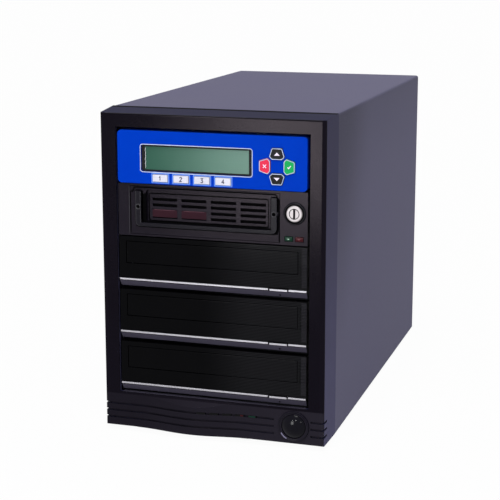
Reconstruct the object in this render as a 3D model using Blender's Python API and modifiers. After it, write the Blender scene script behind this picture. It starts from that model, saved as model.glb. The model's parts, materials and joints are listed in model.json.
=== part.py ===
"""A five-bay disc duplicator tower: a steel case with a moulded front bezel.

Bay 0 holds the control panel, bay 1 the removable hard-drive rack and bays 2 to 4 the optical
drives. X runs to the right, Y to the back and Z up. The origin is under the middle of the whole
tower, on the surface that it stands on. All sizes are in metres.
"""

import math

import bmesh
import bpy
from mathutils import Matrix, Vector

# Clearances
FIT = 0.0003
OVERRUN = 0.002
WELD = 0.00003

# Bays and the units that fill them
BAY_COUNT = 5
BAY_PITCH = 0.0415
FACE_OVERHANG = 0.0011
DRIVE_BODY_WIDTH = 0.146
DRIVE_HEIGHT = 0.041
DRIVE_FACE_DEPTH = 0.020
OPENING_GAP = 0.0018

# Casing
GROUND_GAP = 0.004
SILL_HEIGHT = 0.0284
BROW_HEIGHT = 0.0103
CHEEK_WIDTH = 0.012
BEZEL_DEPTH = 0.0295
BEZEL_WALL = 0.003
BEZEL_CHAMFER = 0.0014
LEAD_ROOM = 0.0207
CASE_STEP = 0.00155
CASE_RISE = 0.002
CASE_LIFT = 0.00075
SHEET = 0.001
BEND_RADIUS = 0.002
REAR_RECESS = 0.0025
FLANGE = 0.012
PAN_LIP = 0.010
CAGE_DEPTH = 0.165
CAGE_FLANGE = 0.011
CAGE_SLOT_HEIGHT = 0.004
CAGE_SLOT_LENGTH = 0.030
CAGE_SLOT_START = 0.045
FOOT_RADIUS = 0.009
FOOT_TAPER = 0.0012
FOOT_STUD_RADIUS = 0.003
FOOT_STUD_RISE = 0.002
FOOT_INSET = 0.024

# Lower lip of the bezel
BOW_REACH = 0.0047
BOW_LEFT = -0.062
BOW_RIGHT = 0.029
BOW_STEPS = 14
BOW_SLOPE_SHARE = 0.885
LIP_EMBED = 0.0003
GROOVE_COUNT = 3
GROOVE_FLOOR = 0.0072
GROOVE_PITCH = 0.0056
GROOVE_HEIGHT = 0.0017
GROOVE_DEPTH = 0.0018
GROOVE_WRAP = 0.008
FLAT_LEFT_MARGIN = 0.0154
FLAT_RIGHT_MARGIN = 0.0131
WINDOW_COUNT = 5
WINDOW_FIRST = -0.0080
WINDOW_PITCH = 0.00995
WINDOW_WIDTH = 0.0054
WINDOW_HEIGHT = 0.0014
LENS_LENGTH = 0.008

# Power button
POWER_INSET = 0.0113
POWER_RISE = 0.0142
POWER_RADIUS = 0.0093
POWER_DOME = 0.0013
POWER_PROUD = 0.0008
POWER_RING_RADIUS = 0.0107
POWER_RING_PROUD = 0.0006
POWER_FLANGE = 0.0008
POWER_TAIL = 0.005

# Control panel
PANEL_SIDE_GAP = 0.0003
PANEL_HEIGHT = 0.0399
PANEL_DEPTH = 0.018
PANEL_WALL = 0.0025
PANEL_EDGE = 0.0008
PANEL_CORNER = 0.003
PANEL_PROUD = 0.001
PANEL_SEAT = 0.0005
LCD_INSET = 0.0187
LCD_PAD_GAP = 0.0057
LCD_HEIGHT = 0.0203
LCD_FLOOR = 0.0092
LCD_CORNER = 0.0015
LCD_SETBACK = 0.0014
LCD_BORDER = 0.0027
LCD_BLOCK_MARGIN = 0.0006
LCD_DEPTH = 0.0085
BOARD_THICKNESS = 0.0016
BOARD_MARGIN = 0.001
KEY_COUNT = 4
KEY_OFFSET = 0.01545
KEY_PITCH = 0.0165
KEY_WIDTH = 0.0118
KEY_HEIGHT = 0.0054
KEY_FLOOR = 0.0019
KEY_PROUD = 0.0008
KEY_FLANGE = 0.0006
KEY_FLANGE_THICKNESS = 0.001
KEY_TRAVEL = 0.0005
PAD_INSET = 0.0227
PAD_RISE = 0.0176
PAD_REACH = 0.0093
PAD_KEY_DEPTH = 0.0084
PAD_INNER_HALF = 0.0037
PAD_WIDE_HALF = 0.0059
PAD_FLANGE = 0.0005
PAD_OUTER_HALF = 0.0038
PAD_WIDE_SHARE = 0.24
SWITCH_SIDE = 0.004

# Hard-drive rack
RACK_HEIGHT = 0.0401
RACK_WALL = 0.0015
DISK_PLUG_ROOM = 0.029
RACK_REAR_WALL = 0.004
RACK_SIDE_WALL = 0.0015
STRIP_WIDTH = 0.0095
LOCK_PANEL_WIDTH = 0.0212
LOCK_INSET = 0.0096
LOCK_RISE = 0.024
COLLAR_RADIUS = 0.0085
COLLAR_SLEEVE = 0.0073
COLLAR_PROUD = 0.0014
COLLAR_DEPTH = 0.0045
BARREL_RADIUS = 0.0061
BARREL_PROUD = 0.0022
BARREL_LENGTH = 0.016
KEYWAY_WIDTH = 0.0012
KEYWAY_HEIGHT = 0.0070
KEYWAY_DEPTH = 0.004
LAMP_RISE = 0.0049
LAMP_WIDTH = 0.0060
LAMP_HEIGHT = 0.0034
LAMP_GREEN_INSET = 0.0142
LAMP_RED_INSET = 0.0061
LAMP_PROUD = 0.0006
LAMP_LENGTH = 0.007

# Carrier in the rack
CARRIER_NOSE = 0.018
CARRIER_WALL = 0.002
CARRIER_FLOOR = 0.0022
GRILLE_LEFT_MARGIN = 0.0126
GRILLE_RIGHT_MARGIN = 0.0081
GRILLE_FLOOR = 0.0106
GRILLE_HEIGHT = 0.0253
GRILLE_RECESS = 0.003
GRILLE_WALL = 0.002
GRILLE_CORNER = 0.0025
SLOT_COLUMNS = 4
SLOT_ROWS = 4
SLOT_MARGIN_LEFT = 0.0043
SLOT_MARGIN_RIGHT = 0.0032
SLOT_GAP = 0.0035
SLOT_FLOOR = 0.0035
SLOT_HEIGHT = 0.0022
SLOT_ROW_PITCH = 0.0044
DISK_SIDE_ROOM = 0.00595
DISK_HEIGHT = 0.0261
DISK_LENGTH = 0.147
DISK_CHAMFER = 0.002
HANDLE_LEFT_REACH = 0.0075
HANDLE_RIGHT_REACH = 0.0064
HANDLE_ARM = 0.0042
HANDLE_BAR_FLOOR = 0.0081
HANDLE_BAR = 0.0027
HANDLE_TOP = 0.0350
HANDLE_THICKNESS = 0.004
HANDLE_PROUD = 0.0022
HANDLE_CORNER = 0.004
HANDLE_TRACK = 0.0155
PIVOT_RISE = 0.0230
PIVOT_RADIUS = 0.0015
PIVOT_REACH = 0.0010

# Optical drives
DRIVE_COUNT = 3
SHELL_LENGTH = 0.165
FACE_WALL = 0.003
FACE_SIDE_WALL = 0.002
FASCIA_SLOPE = 0.004
STRIP_FLOOR = 0.0063
STRIP_HEIGHT = 0.0022
STRIP_PROUD = 0.0005
DOOR_LEFT_MARGIN = 0.0057
DOOR_RIGHT_MARGIN = 0.0071
DOOR_FLOOR = 0.0200
DOOR_HEIGHT = 0.0168
DOOR_THICKNESS = 0.0025
DOOR_CHAMFER = 0.0004
RIB_COUNT = 8
RIB_PITCH = 0.0021
RIB_GAP = 0.0009
RIB_DEPTH = 0.0008
EJECT_INSET = 0.0142
EJECT_WIDTH = 0.0146
EJECT_PROUD = 0.0010
EJECT_FLANGE = 0.0010
EJECT_TAIL = 0.0025
TRAY_ROOM = 0.007
TRAY_LENGTH = 0.150
TRAY_THICKNESS = 0.0070
TRAY_LIFT = 0.0008
DISC_RADIUS = 0.0605
DISC_DEPTH = 0.0040
DISC_CENTRE = 0.0680
SMALL_DISC_RADIUS = 0.0410
SMALL_DISC_DEPTH = 0.0012
TRAY_SLOT_WIDTH = 0.044
TRAY_SLOT_END = 0.012
RUNNER_WIDTH = 0.009
RUNNER_HEIGHT = 0.003
MOTOR_RADIUS = 0.014
MOTOR_HEIGHT = 0.008
SPINDLE_RADIUS = 0.0125
SPINDLE_PLATE = 0.002
SPINDLE_HUB_RADIUS = 0.0072
SPINDLE_NOSE_RADIUS = 0.004
SPINDLE_TOP_GAP = 0.0012

# Controller in the top bay
BRACKET_LENGTH = 0.140
BRACKET_SIDE = 0.020
BRACKET_SEAT = 0.0008
BOSS_RADIUS = 0.003
BOSS_HEIGHT = 0.006
CONTROLLER_WIDTH = 0.120
CONTROLLER_LENGTH = 0.110
CONTROLLER_SETBACK = 0.012
BOSS_INSET = 0.006
CHIP_SIDE = 0.028
CHIP_HEIGHT = 0.003
PLUG_WIDTH = 0.016
PLUG_DEPTH = 0.008
PLUG_HEIGHT = 0.009
PLUG_PITCH = 0.024

# Power supply
SUPPLY_SIDE_ROOM = 0.01315
SUPPLY_HEIGHT = 0.086
SUPPLY_DEPTH = 0.125
SUPPLY_DROP = 0.0015
SUPPLY_RIM = 0.003
SUPPLY_FAN_INSET = 0.048
LEAD_HOLE_WIDTH = 0.030
LEAD_HOLE_HEIGHT = 0.016
LEAD_HOLE_INSET = 0.035
INLET_INSET = 0.025
INLET_RISE = 0.026
INLET_WIDTH = 0.027
INLET_HEIGHT = 0.020
INLET_DEPTH = 0.020
INLET_WALL = 0.0025
SOCKET_DEPTH = 0.016
SWITCH_RISE = 0.060
ROCKER_WIDTH = 0.013
ROCKER_HEIGHT = 0.019
ROCKER_DEPTH = 0.010
ROCKER_TILT_DEGREES = 8

# Fans and their slotted guards
FAN_SIDE = 0.080
FAN_DEPTH = 0.025
FAN_BORE_RADIUS = 0.038
FAN_HUB_RADIUS = 0.016
FAN_STRUT_WIDTH = 0.004
FAN_STRUT_DEPTH = 0.003
FAN_INSET = 0.06615
FAN_RISE = 0.085
ROTOR_GAP = 0.0015
ROTOR_DEPTH = 0.018
BLADE_COUNT = 7
BLADE_THICKNESS = 0.0014
BLADE_CHORD = 0.016
BLADE_ROOT_SHARE = 0.8
BLADE_PITCH_DEGREES = 38
GUARD_RINGS = 3
GUARD_SECTORS = 4
GUARD_WIRE = 0.0035
GUARD_STEPS = 5

# Ventilation slots in the rear panel
VENT_COUNT = 7
VENT_LENGTH = 0.034
VENT_HEIGHT = 0.0030
VENT_PITCH = 0.0075
VENT_INSET = 0.03615

# Roundness of turned and bored shapes, in sides
FINE_SIDES = 32
COARSE_SIDES = 16

# Places worked out from the sizes above
DRIVE_FACE_WIDTH = DRIVE_BODY_WIDTH + 2 * FACE_OVERHANG
BODY_HALF = DRIVE_BODY_WIDTH / 2
FACE_HALF = DRIVE_FACE_WIDTH / 2
OPENING_HALF = FACE_HALF + OPENING_GAP
BEZEL_HALF = OPENING_HALF + CHEEK_WIDTH
BEZEL_BOTTOM = GROUND_GAP
OPENING_BOTTOM = BEZEL_BOTTOM + SILL_HEIGHT
OPENING_TOP = OPENING_BOTTOM + BAY_COUNT * BAY_PITCH
BEZEL_TOP = OPENING_TOP + BROW_HEIGHT
CASE_HALF = BEZEL_HALF + CASE_STEP
CASE_BOTTOM = BEZEL_BOTTOM + CASE_LIFT
CASE_TOP = BEZEL_TOP + CASE_RISE
RACK_DEPTH = CARRIER_NOSE + CARRIER_WALL + DISK_LENGTH + DISK_PLUG_ROOM + RACK_REAR_WALL
CASE_DEPTH = RACK_DEPTH - BEZEL_DEPTH + LEAD_ROOM + SUPPLY_DEPTH + FIT + SHEET + REAR_RECESS
BACK = (BOW_REACH + BEZEL_DEPTH + CASE_DEPTH) / 2
FRONT = BOW_REACH - BACK
CASE_FRONT = FRONT + BEZEL_DEPTH
TRAY_WIDTH = DRIVE_BODY_WIDTH - 2 * (SHEET + TRAY_ROOM)
POWER_X = OPENING_HALF - POWER_INSET
FLAT_LEFT = POWER_X - FLAT_LEFT_MARGIN
FLAT_RIGHT = POWER_X + FLAT_RIGHT_MARGIN
PANEL_WIDTH = 2 * (FACE_HALF - PANEL_SIDE_GAP)
PAD_X = PANEL_WIDTH / 2 - PAD_INSET
LCD_LEFT = LCD_INSET - PANEL_WIDTH / 2
LCD_WIDTH = PAD_X - PAD_REACH - PAD_KEY_DEPTH / 2 - LCD_PAD_GAP - LCD_LEFT
KEY_FIRST_X = LCD_LEFT + KEY_OFFSET
LOCK_X = FACE_HALF - LOCK_INSET
LAMP_GREEN_X = FACE_HALF - LAMP_GREEN_INSET
LAMP_RED_X = FACE_HALF - LAMP_RED_INSET
CARRIER_WIDTH = 2 * FACE_HALF - STRIP_WIDTH - LOCK_PANEL_WIDTH
DISK_WIDTH = CARRIER_WIDTH - 2 * (CARRIER_WALL + DISK_SIDE_ROOM)
GRILLE_LEFT = STRIP_WIDTH + GRILLE_LEFT_MARGIN - FACE_HALF
GRILLE_WIDTH = FACE_HALF - LOCK_PANEL_WIDTH - GRILLE_RIGHT_MARGIN - GRILLE_LEFT
SLOT_PITCH = (GRILLE_WIDTH - SLOT_MARGIN_LEFT - SLOT_MARGIN_RIGHT + SLOT_GAP) / SLOT_COLUMNS
SLOT_WIDTH = SLOT_PITCH - SLOT_GAP
HANDLE_LEFT = GRILLE_LEFT - HANDLE_LEFT_REACH
HANDLE_RIGHT = GRILLE_LEFT + GRILLE_WIDTH + HANDLE_RIGHT_REACH
DOOR_LEFT = DOOR_LEFT_MARGIN - FACE_HALF
DOOR_RIGHT = FACE_HALF - DOOR_RIGHT_MARGIN
EJECT_RIGHT = FACE_HALF - EJECT_INSET
EJECT_LEFT = EJECT_RIGHT - EJECT_WIDTH
INNER_HALF = CASE_HALF - SHEET - FIT
SUPPLY_WIDTH = 2 * (INNER_HALF - SUPPLY_SIDE_ROOM)
SUPPLY_FAN_X = SUPPLY_FAN_INSET - SUPPLY_WIDTH / 2
INLET_X = SUPPLY_WIDTH / 2 - INLET_INSET
LEAD_HOLE_X = SUPPLY_WIDTH / 2 - LEAD_HOLE_INSET
FAN_X = FAN_INSET - INNER_HALF
VENT_X = INNER_HALF - VENT_INSET
PAN_TOP = CASE_BOTTOM + SHEET
INNER_TOP = CASE_TOP - SHEET - FIT
FRAME_FRONT = CASE_FRONT + FIT
FRAME_BACK = FRAME_FRONT + SHEET
FRAME_BOTTOM = PAN_TOP + FIT
REAR_OUTSIDE = BACK - REAR_RECESS
REAR_INSIDE = REAR_OUTSIDE - SHEET

# Colour, roughness and metallic value of each finish
FINISHES = {
    "bezel_plastic": ((0.020, 0.019, 0.022), 0.45, 0.0),
    "case_paint": ((0.120, 0.118, 0.140), 0.50, 0.0),
    "bare_steel": ((0.560, 0.560, 0.550), 0.38, 0.9),
    "foot_rubber": ((0.025, 0.025, 0.026), 0.85, 0.0),
    "panel_blue": ((0.010, 0.080, 0.620), 0.35, 0.0),
    "display": ((0.380, 0.470, 0.380), 0.20, 0.0),
    "board_green": ((0.020, 0.140, 0.060), 0.50, 0.0),
    "key_white": ((0.800, 0.820, 0.850), 0.40, 0.0),
    "key_black": ((0.020, 0.020, 0.022), 0.40, 0.0),
    "key_red": ((0.720, 0.030, 0.050), 0.40, 0.0),
    "key_green": ((0.020, 0.500, 0.100), 0.40, 0.0),
    "rack_plastic": ((0.030, 0.029, 0.033), 0.50, 0.0),
    "disk_metal": ((0.500, 0.500, 0.510), 0.35, 0.9),
    "lock_chrome": ((0.800, 0.800, 0.810), 0.12, 1.0),
    "lamp_green": ((0.020, 0.350, 0.160), 0.25, 0.0),
    "lamp_red": ((0.450, 0.030, 0.050), 0.25, 0.0),
    "drive_gloss": ((0.008, 0.008, 0.009), 0.12, 0.0),
    "tray_plastic": ((0.030, 0.030, 0.032), 0.45, 0.0),
    "bright_key": ((0.650, 0.650, 0.670), 0.25, 0.8),
    "spindle_metal": ((0.450, 0.450, 0.460), 0.35, 0.7),
    "fan_plastic": ((0.030, 0.030, 0.030), 0.50, 0.0),
    "socket_plastic": ((0.015, 0.015, 0.015), 0.40, 0.0),
    "button_gloss": ((0.020, 0.019, 0.022), 0.15, 0.0),
}

# Local axes of an outline, laid in the front view, the side view and the plan
FRONT_VIEW = Matrix(((1, 0, 0), (0, 0, -1), (0, 1, 0)))
SIDE_VIEW = Matrix(((0, 0, 1), (1, 0, 0), (0, 1, 0)))
PLAN_VIEW = Matrix.Identity(3)

# Turns that point a turned piece's top to the front and to the back
TO_FRONT = (math.pi / 2, 0, 0)


def collection(name):
    """The collection of this name, made when it is first asked for."""
    found = bpy.data.collections.get(name)
    if found is None:
        found = bpy.data.collections.new(name)
        bpy.context.scene.collection.children.link(found)
    return found


def finish(name):
    """The material of a finish, made when it is first asked for."""
    material = bpy.data.materials.get(name)
    if material is None:
        material = bpy.data.materials.new(name)
        material.use_nodes = True
        shader = material.node_tree.nodes["Principled BSDF"]
        colour, roughness, metallic = FINISHES[name]
        shader.inputs["Base Color"].default_value = (*colour, 1)
        shader.inputs["Roughness"].default_value = roughness
        shader.inputs["Metallic"].default_value = metallic
    return material


def middle(span):
    """The middle of a span."""
    return (span[0] + span[1]) / 2


def about(centre, size):
    """The span of a size laid about a centre."""
    return (centre - size / 2, centre + size / 2)


def grown(span, amount):
    """A span made longer by an amount at both ends."""
    return (span[0] - amount, span[1] + amount)


def bay_floor(bay):
    """The height of a bay's floor; bay 0 is the top one."""
    return OPENING_BOTTOM + (BAY_COUNT - 1 - bay) * BAY_PITCH


def piece(name, mesh, place, finish_name):
    """One sub-part of the tower, with its own material."""
    thing = bpy.data.objects.new(name, mesh)
    thing.location = place
    thing.data.materials.append(finish(finish_name))
    collection("duplicator_tower").objects.link(thing)
    return thing


def tool(name, mesh, place=(0, 0, 0)):
    """A shape that only cuts or joins the pieces, and shows in no render."""
    thing = bpy.data.objects.new(name, mesh)
    thing.location = place
    thing.hide_render = True
    thing.display_type = "WIRE"
    collection("cutting_tools").objects.link(thing)
    return thing


def shape(thing, other, operation):
    """Cuts a shape from a piece, or joins it on, with a Boolean."""
    boolean = thing.modifiers.new(other.name, "BOOLEAN")
    boolean.operation = operation
    boolean.solver = "EXACT"
    boolean.object = other


def cut(thing, other):
    """Takes a tool's shape out of a piece."""
    shape(thing, other, "DIFFERENCE")


def fuse(thing, other):
    """Makes a tool's shape part of a piece."""
    shape(thing, other, "UNION")


def finished_mesh(name, sheet):
    """A mesh from a bmesh, which is freed."""
    mesh = bpy.data.meshes.new(name)
    sheet.to_mesh(mesh)
    sheet.free()
    return mesh


def blocks_mesh(name, blocks, origin=(0, 0, 0)):
    """Separate boxes in one mesh. Each block is its X, Y and Z span."""
    sheet = bmesh.new()
    for spans in blocks:
        centre = [middle(span) - start for span, start in zip(spans, origin)]
        size = [span[1] - span[0] for span in spans]
        place = Matrix.Translation(centre) @ Matrix.Diagonal((*size, 1))
        bmesh.ops.create_cube(sheet, size=1, matrix=place)
    return finished_mesh(name, sheet)


def block(name, x, y, z, finish_name):
    """A box that fills three spans, with its origin at its middle."""
    centre = (middle(x), middle(y), middle(z))
    return piece(name, blocks_mesh(name, [(x, y, z)], centre), centre, finish_name)


def block_tool(name, *blocks):
    """A tool of one or more separate boxes."""
    return tool(name, blocks_mesh(name, blocks))


def rod_mesh(name, radius, length, axis, sides):
    """A cylinder about the origin, along X, Y or Z."""
    turn = {
        "X": Matrix.Rotation(math.pi / 2, 4, "Y"),
        "Y": Matrix.Rotation(math.pi / 2, 4, "X"),
        "Z": Matrix.Identity(4),
    }[axis]
    sheet = bmesh.new()
    bmesh.ops.create_cone(
        sheet, cap_ends=True, segments=sides, radius1=radius, radius2=radius, depth=length, matrix=turn
    )
    return finished_mesh(name, sheet)


def rod_tool(name, radius, axis, x, y, z, sides=FINE_SIDES):
    """A round tool: the place along its own axis is a span, the other two are numbers."""
    places = [x, y, z]
    along = "XYZ".index(axis)
    span = places[along]
    places[along] = middle(span)
    return tool(name, rod_mesh(name, radius, span[1] - span[0], axis, sides), places)


def outline_mesh(name, loops, thickness, view):
    """Flat closed outlines, thickened about their plane, which is turned to a view."""
    curve = bpy.data.curves.new(name, "CURVE")
    curve.dimensions = "2D"
    curve.fill_mode = "BOTH"
    curve.extrude = thickness / 2
    for loop in loops:
        spline = curve.splines.new("POLY")
        spline.points.add(len(loop) - 1)
        for point, (across, up) in zip(spline.points, loop):
            point.co = (across, up, 0, 1)
        spline.use_cyclic_u = True
    drawn = bpy.data.objects.new(name, curve)
    collection("cutting_tools").objects.link(drawn)
    bpy.context.view_layer.update()
    evaluated = drawn.evaluated_get(bpy.context.evaluated_depsgraph_get())
    mesh = bpy.data.meshes.new_from_object(evaluated)
    bpy.data.objects.remove(drawn)
    bpy.data.curves.remove(curve)
    sheet = bmesh.new()
    sheet.from_mesh(mesh)
    bmesh.ops.remove_doubles(sheet, verts=sheet.verts, dist=WELD)
    bmesh.ops.recalc_face_normals(sheet, faces=sheet.faces)
    sheet.to_mesh(mesh)
    sheet.free()
    mesh.transform(view.to_4x4())
    return mesh


def front_outline_tool(name, loops, y):
    """A tool with its outlines in the front view, through a span of Y."""
    mesh = outline_mesh(name, loops, y[1] - y[0], FRONT_VIEW)
    return tool(name, mesh, (0, middle(y), 0))


def rounded_loop(x, z, radius, steps=4):
    """A rectangle with round corners."""
    corners = (
        (x[1] - radius, z[1] - radius, 0),
        (x[0] + radius, z[1] - radius, 1),
        (x[0] + radius, z[0] + radius, 2),
        (x[1] - radius, z[0] + radius, 3),
    )
    loop = []
    for across, up, quarter in corners:
        for step in range(steps + 1):
            angle = (quarter + step / steps) * math.pi / 2
            loop.append((across + radius * math.cos(angle), up + radius * math.sin(angle)))
    return loop


def turned(name, profile, place, facing, finish_name, closed=False, sides=FINE_SIDES):
    """A turned piece. Its profile is (radius, height) from the top centre down the outer side."""
    mesh = bpy.data.meshes.new(name)
    edges = [(i, i + 1) for i in range(len(profile) - 1)]
    if closed:
        edges.append((len(profile) - 1, 0))
    mesh.from_pydata([(radius, 0, height) for radius, height in profile], edges, [])
    thing = piece(name, mesh, place, finish_name)
    thing.rotation_euler = facing
    screw = thing.modifiers.new("turn", "SCREW")
    screw.axis = "Z"
    screw.angle = 2 * math.pi
    screw.steps = sides
    screw.render_steps = sides
    screw.use_merge_vertices = True
    screw.merge_threshold = WELD
    screw.use_smooth_shade = True
    return thing


def folded_sheet(name, x, y, z, open_sides, finish_name, bend=0):
    """A sheet-metal shell: a box without its open sides, thickened inwards."""
    centre = Vector((middle(x), middle(y), middle(z)))
    mesh = blocks_mesh(name, [(x, y, z)], centre)
    sheet = bmesh.new()
    sheet.from_mesh(mesh)
    gone = [face for face in sheet.faces if any(face.normal.dot(Vector(side)) > 0.5 for side in open_sides)]
    bmesh.ops.delete(sheet, geom=gone, context="FACES")
    if bend:
        bends = [edge for edge in sheet.edges if len(edge.link_faces) == 2]
        bmesh.ops.bevel(sheet, geom=bends, offset=bend, segments=3, profile=0.5, affect="EDGES")
    sheet.to_mesh(mesh)
    sheet.free()
    thing = piece(name, mesh, centre, finish_name)
    solid = thing.modifiers.new("sheet", "SOLIDIFY")
    solid.thickness = SHEET
    solid.offset = -1
    solid.use_even_offset = True
    return thing


def soften(thing, width, segments=1):
    """Rounds or chamfers a piece's sharp edges."""
    bevel = thing.modifiers.new("edges", "BEVEL")
    bevel.width = width
    bevel.segments = segments
    bevel.limit_method = "ANGLE"


def bow(x):
    """How far the lower lip stands forward of the bezel's face at a place across it."""
    if not BOW_LEFT < x < BOW_RIGHT:
        return 0
    share = (x - BOW_LEFT) / (BOW_RIGHT - BOW_LEFT)
    return BOW_REACH * math.sin(math.pi * share) ** 2


def bow_line(inset, reach=BOW_REACH):
    """Points along the lip's face in plan, from left to right, starting and ending at an inset."""
    places = [BOW_LEFT + (BOW_RIGHT - BOW_LEFT) * i / BOW_STEPS for i in range(BOW_STEPS + 1)]
    return [(x, FRONT + inset - bow(x) * reach / BOW_REACH) for x in places]


def groove_height(number):
    """The middle height of a groove in the lower lip; number 0 is the lowest."""
    return BEZEL_BOTTOM + GROOVE_FLOOR + number * GROOVE_PITCH


def window_middle(number):
    """The middle of a small window in the top groove."""
    return WINDOW_FIRST + number * WINDOW_PITCH


def bezel_body():
    """The tapered outer block of the bezel, its front edges chamfered."""
    y = (FRONT, CASE_FRONT)
    z = (BEZEL_BOTTOM, CASE_TOP)
    centre = Vector((0, middle(y), middle(z)))
    mesh = blocks_mesh("front_bezel", [((-CASE_HALF, CASE_HALF), y, z)], centre)
    sheet = bmesh.new()
    sheet.from_mesh(mesh)
    for corner in sheet.verts:
        if corner.co.y < 0:
            corner.co.x = math.copysign(BEZEL_HALF, corner.co.x)
            if corner.co.z > 0:
                corner.co.z -= CASE_RISE
        elif corner.co.z < 0:
            corner.co.z += CASE_LIFT
    rim = [edge for edge in sheet.edges if all(corner.co.y < 0 for corner in edge.verts)]
    bmesh.ops.bevel(sheet, geom=rim, offset=BEZEL_CHAMFER, segments=2, profile=0.5, affect="EDGES")
    sheet.to_mesh(mesh)
    sheet.free()
    return piece("front_bezel", mesh, centre, "bezel_plastic")


def lip_tool():
    """The bowed swelling of the lower lip, sloped back along its top."""
    line = bow_line(LIP_EMBED, BOW_REACH + LIP_EMBED)
    back = FRONT + BEZEL_WALL / 2
    loop = [(line[0][0], back)] + line + [(line[-1][0], back)]
    z = (BEZEL_BOTTOM + LIP_EMBED, OPENING_BOTTOM - LIP_EMBED)
    mesh = outline_mesh("lower_lip", [loop], z[1] - z[0], PLAN_VIEW)
    lip = tool("lower_lip", mesh, (0, 0, middle(z)))
    behind = FRONT + LIP_EMBED
    ahead = FRONT - BOW_REACH - OVERRUN
    above = z[1] + OVERRUN / BOW_SLOPE_SHARE
    below = z[1] - (behind - ahead) / BOW_SLOPE_SHARE
    shelf = [(behind + OVERRUN, above), (ahead, below), (ahead, above)]
    x = grown((BOW_LEFT, BOW_RIGHT), OVERRUN)
    slope = tool("lip_slope", outline_mesh("lip_slope", [shelf], x[1] - x[0], SIDE_VIEW), (middle(x), 0, 0))
    cut(lip, slope)
    return lip


def groove_loops():
    """The two plan outlines that cut one groove: the long left stretch and the short right one."""
    outside = CASE_HALF + OVERRUN
    inside = BEZEL_HALF - GROOVE_DEPTH
    ahead = FRONT - BOW_REACH - OVERRUN
    bed = FRONT + GROOVE_DEPTH
    end = FRONT + GROOVE_WRAP
    left = [(-outside, ahead), (-outside, end), (-inside, end), (-inside, bed)]
    left += bow_line(GROOVE_DEPTH)
    left += [(FLAT_LEFT, bed), (FLAT_LEFT, ahead)]
    right = [(FLAT_RIGHT, ahead), (FLAT_RIGHT, bed), (inside, bed)]
    right += [(inside, end), (outside, end), (outside, ahead)]
    return [left, right]


def front_bezel():
    """The moulded bezel: bay opening, bowed lip, grooves, small windows and the button's ring."""
    bezel = bezel_body()
    fuse(bezel, lip_tool())
    ring_y = (FRONT - POWER_RING_PROUD, FRONT + BEZEL_WALL / 2)
    ring_z = BEZEL_BOTTOM + POWER_RISE
    fuse(bezel, rod_tool("power_ring", POWER_RING_RADIUS, "Y", POWER_X, ring_y, ring_z))
    inside_x = BEZEL_HALF - BEZEL_WALL
    inside_z = (BEZEL_BOTTOM + CASE_LIFT + BEZEL_WALL, BEZEL_TOP - BEZEL_WALL)
    hollow_y = (FRONT + BEZEL_WALL, CASE_FRONT + OVERRUN)
    cut(bezel, block_tool("bezel_hollow", ((-inside_x, inside_x), hollow_y, inside_z)))
    through = (FRONT - BOW_REACH - OVERRUN, FRONT + BEZEL_WALL + OVERRUN)
    opening = ((-OPENING_HALF, OPENING_HALF), through, (OPENING_BOTTOM, OPENING_TOP))
    cut(bezel, block_tool("bay_opening", opening))
    cut(bezel, rod_tool("power_hole", POWER_RADIUS + FIT, "Y", POWER_X, through, ring_z))
    for number in range(GROOVE_COUNT):
        name = f"groove_{number + 1}"
        mesh = outline_mesh(name, groove_loops(), GROOVE_HEIGHT, PLAN_VIEW)
        cut(bezel, tool(name, mesh, (0, 0, groove_height(number))))
    windows_z = about(groove_height(GROOVE_COUNT - 1), WINDOW_HEIGHT)
    windows = [
        (about(window_middle(number), WINDOW_WIDTH), through, windows_z) for number in range(WINDOW_COUNT)
    ]
    cut(bezel, block_tool("lip_windows", *windows))


def lip_lens(name, number, finish_name):
    """A light guide that fills one of the small windows."""
    x = grown(about(window_middle(number), WINDOW_WIDTH), -FIT)
    z = grown(about(groove_height(GROOVE_COUNT - 1), WINDOW_HEIGHT), -FIT)
    face = FRONT + GROOVE_DEPTH - bow(window_middle(number))
    block(name, x, (face, face + LENS_LENGTH), z, finish_name)


def power_button():
    """The round domed button, held behind the bezel by its flange."""
    wall = BEZEL_WALL + FIT + POWER_PROUD
    wide = POWER_RADIUS + POWER_FLANGE
    profile = [(0, 0)]
    for step in range(1, 5):
        angle = step / 4 * math.pi / 2
        profile.append((POWER_RADIUS * math.sin(angle), -POWER_DOME * (1 - math.cos(angle))))
    profile += [(POWER_RADIUS, -POWER_DOME - wall), (wide, -POWER_DOME - wall)]
    profile += [(wide, -POWER_DOME - wall - POWER_FLANGE), (POWER_RADIUS, -POWER_DOME - wall - POWER_FLANGE)]
    profile += [(POWER_RADIUS, -POWER_DOME - wall - POWER_TAIL), (0, -POWER_DOME - wall - POWER_TAIL)]
    place = (POWER_X, FRONT - POWER_PROUD - POWER_DOME, BEZEL_BOTTOM + POWER_RISE)
    turned("power_button", profile, place, TO_FRONT, "button_gloss")


def cover_shell():
    """The painted steel cover: the top and both sides in one bent sheet."""
    x = (-CASE_HALF, CASE_HALF)
    y = (CASE_FRONT + FIT, BACK)
    z = (CASE_BOTTOM, CASE_TOP)
    folded_sheet("cover_shell", x, y, z, ((0, 0, -1), (0, 1, 0), (0, -1, 0)), "case_paint", BEND_RADIUS)


def foot_places():
    """The names and middles of the four feet."""
    x = INNER_HALF - FOOT_INSET
    front = CASE_FRONT + FOOT_INSET
    rear = REAR_INSIDE - FOOT_INSET
    return {
        "foot_front_left": (-x, front),
        "foot_front_right": (x, front),
        "foot_rear_left": (-x, rear),
        "foot_rear_right": (x, rear),
    }


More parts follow.
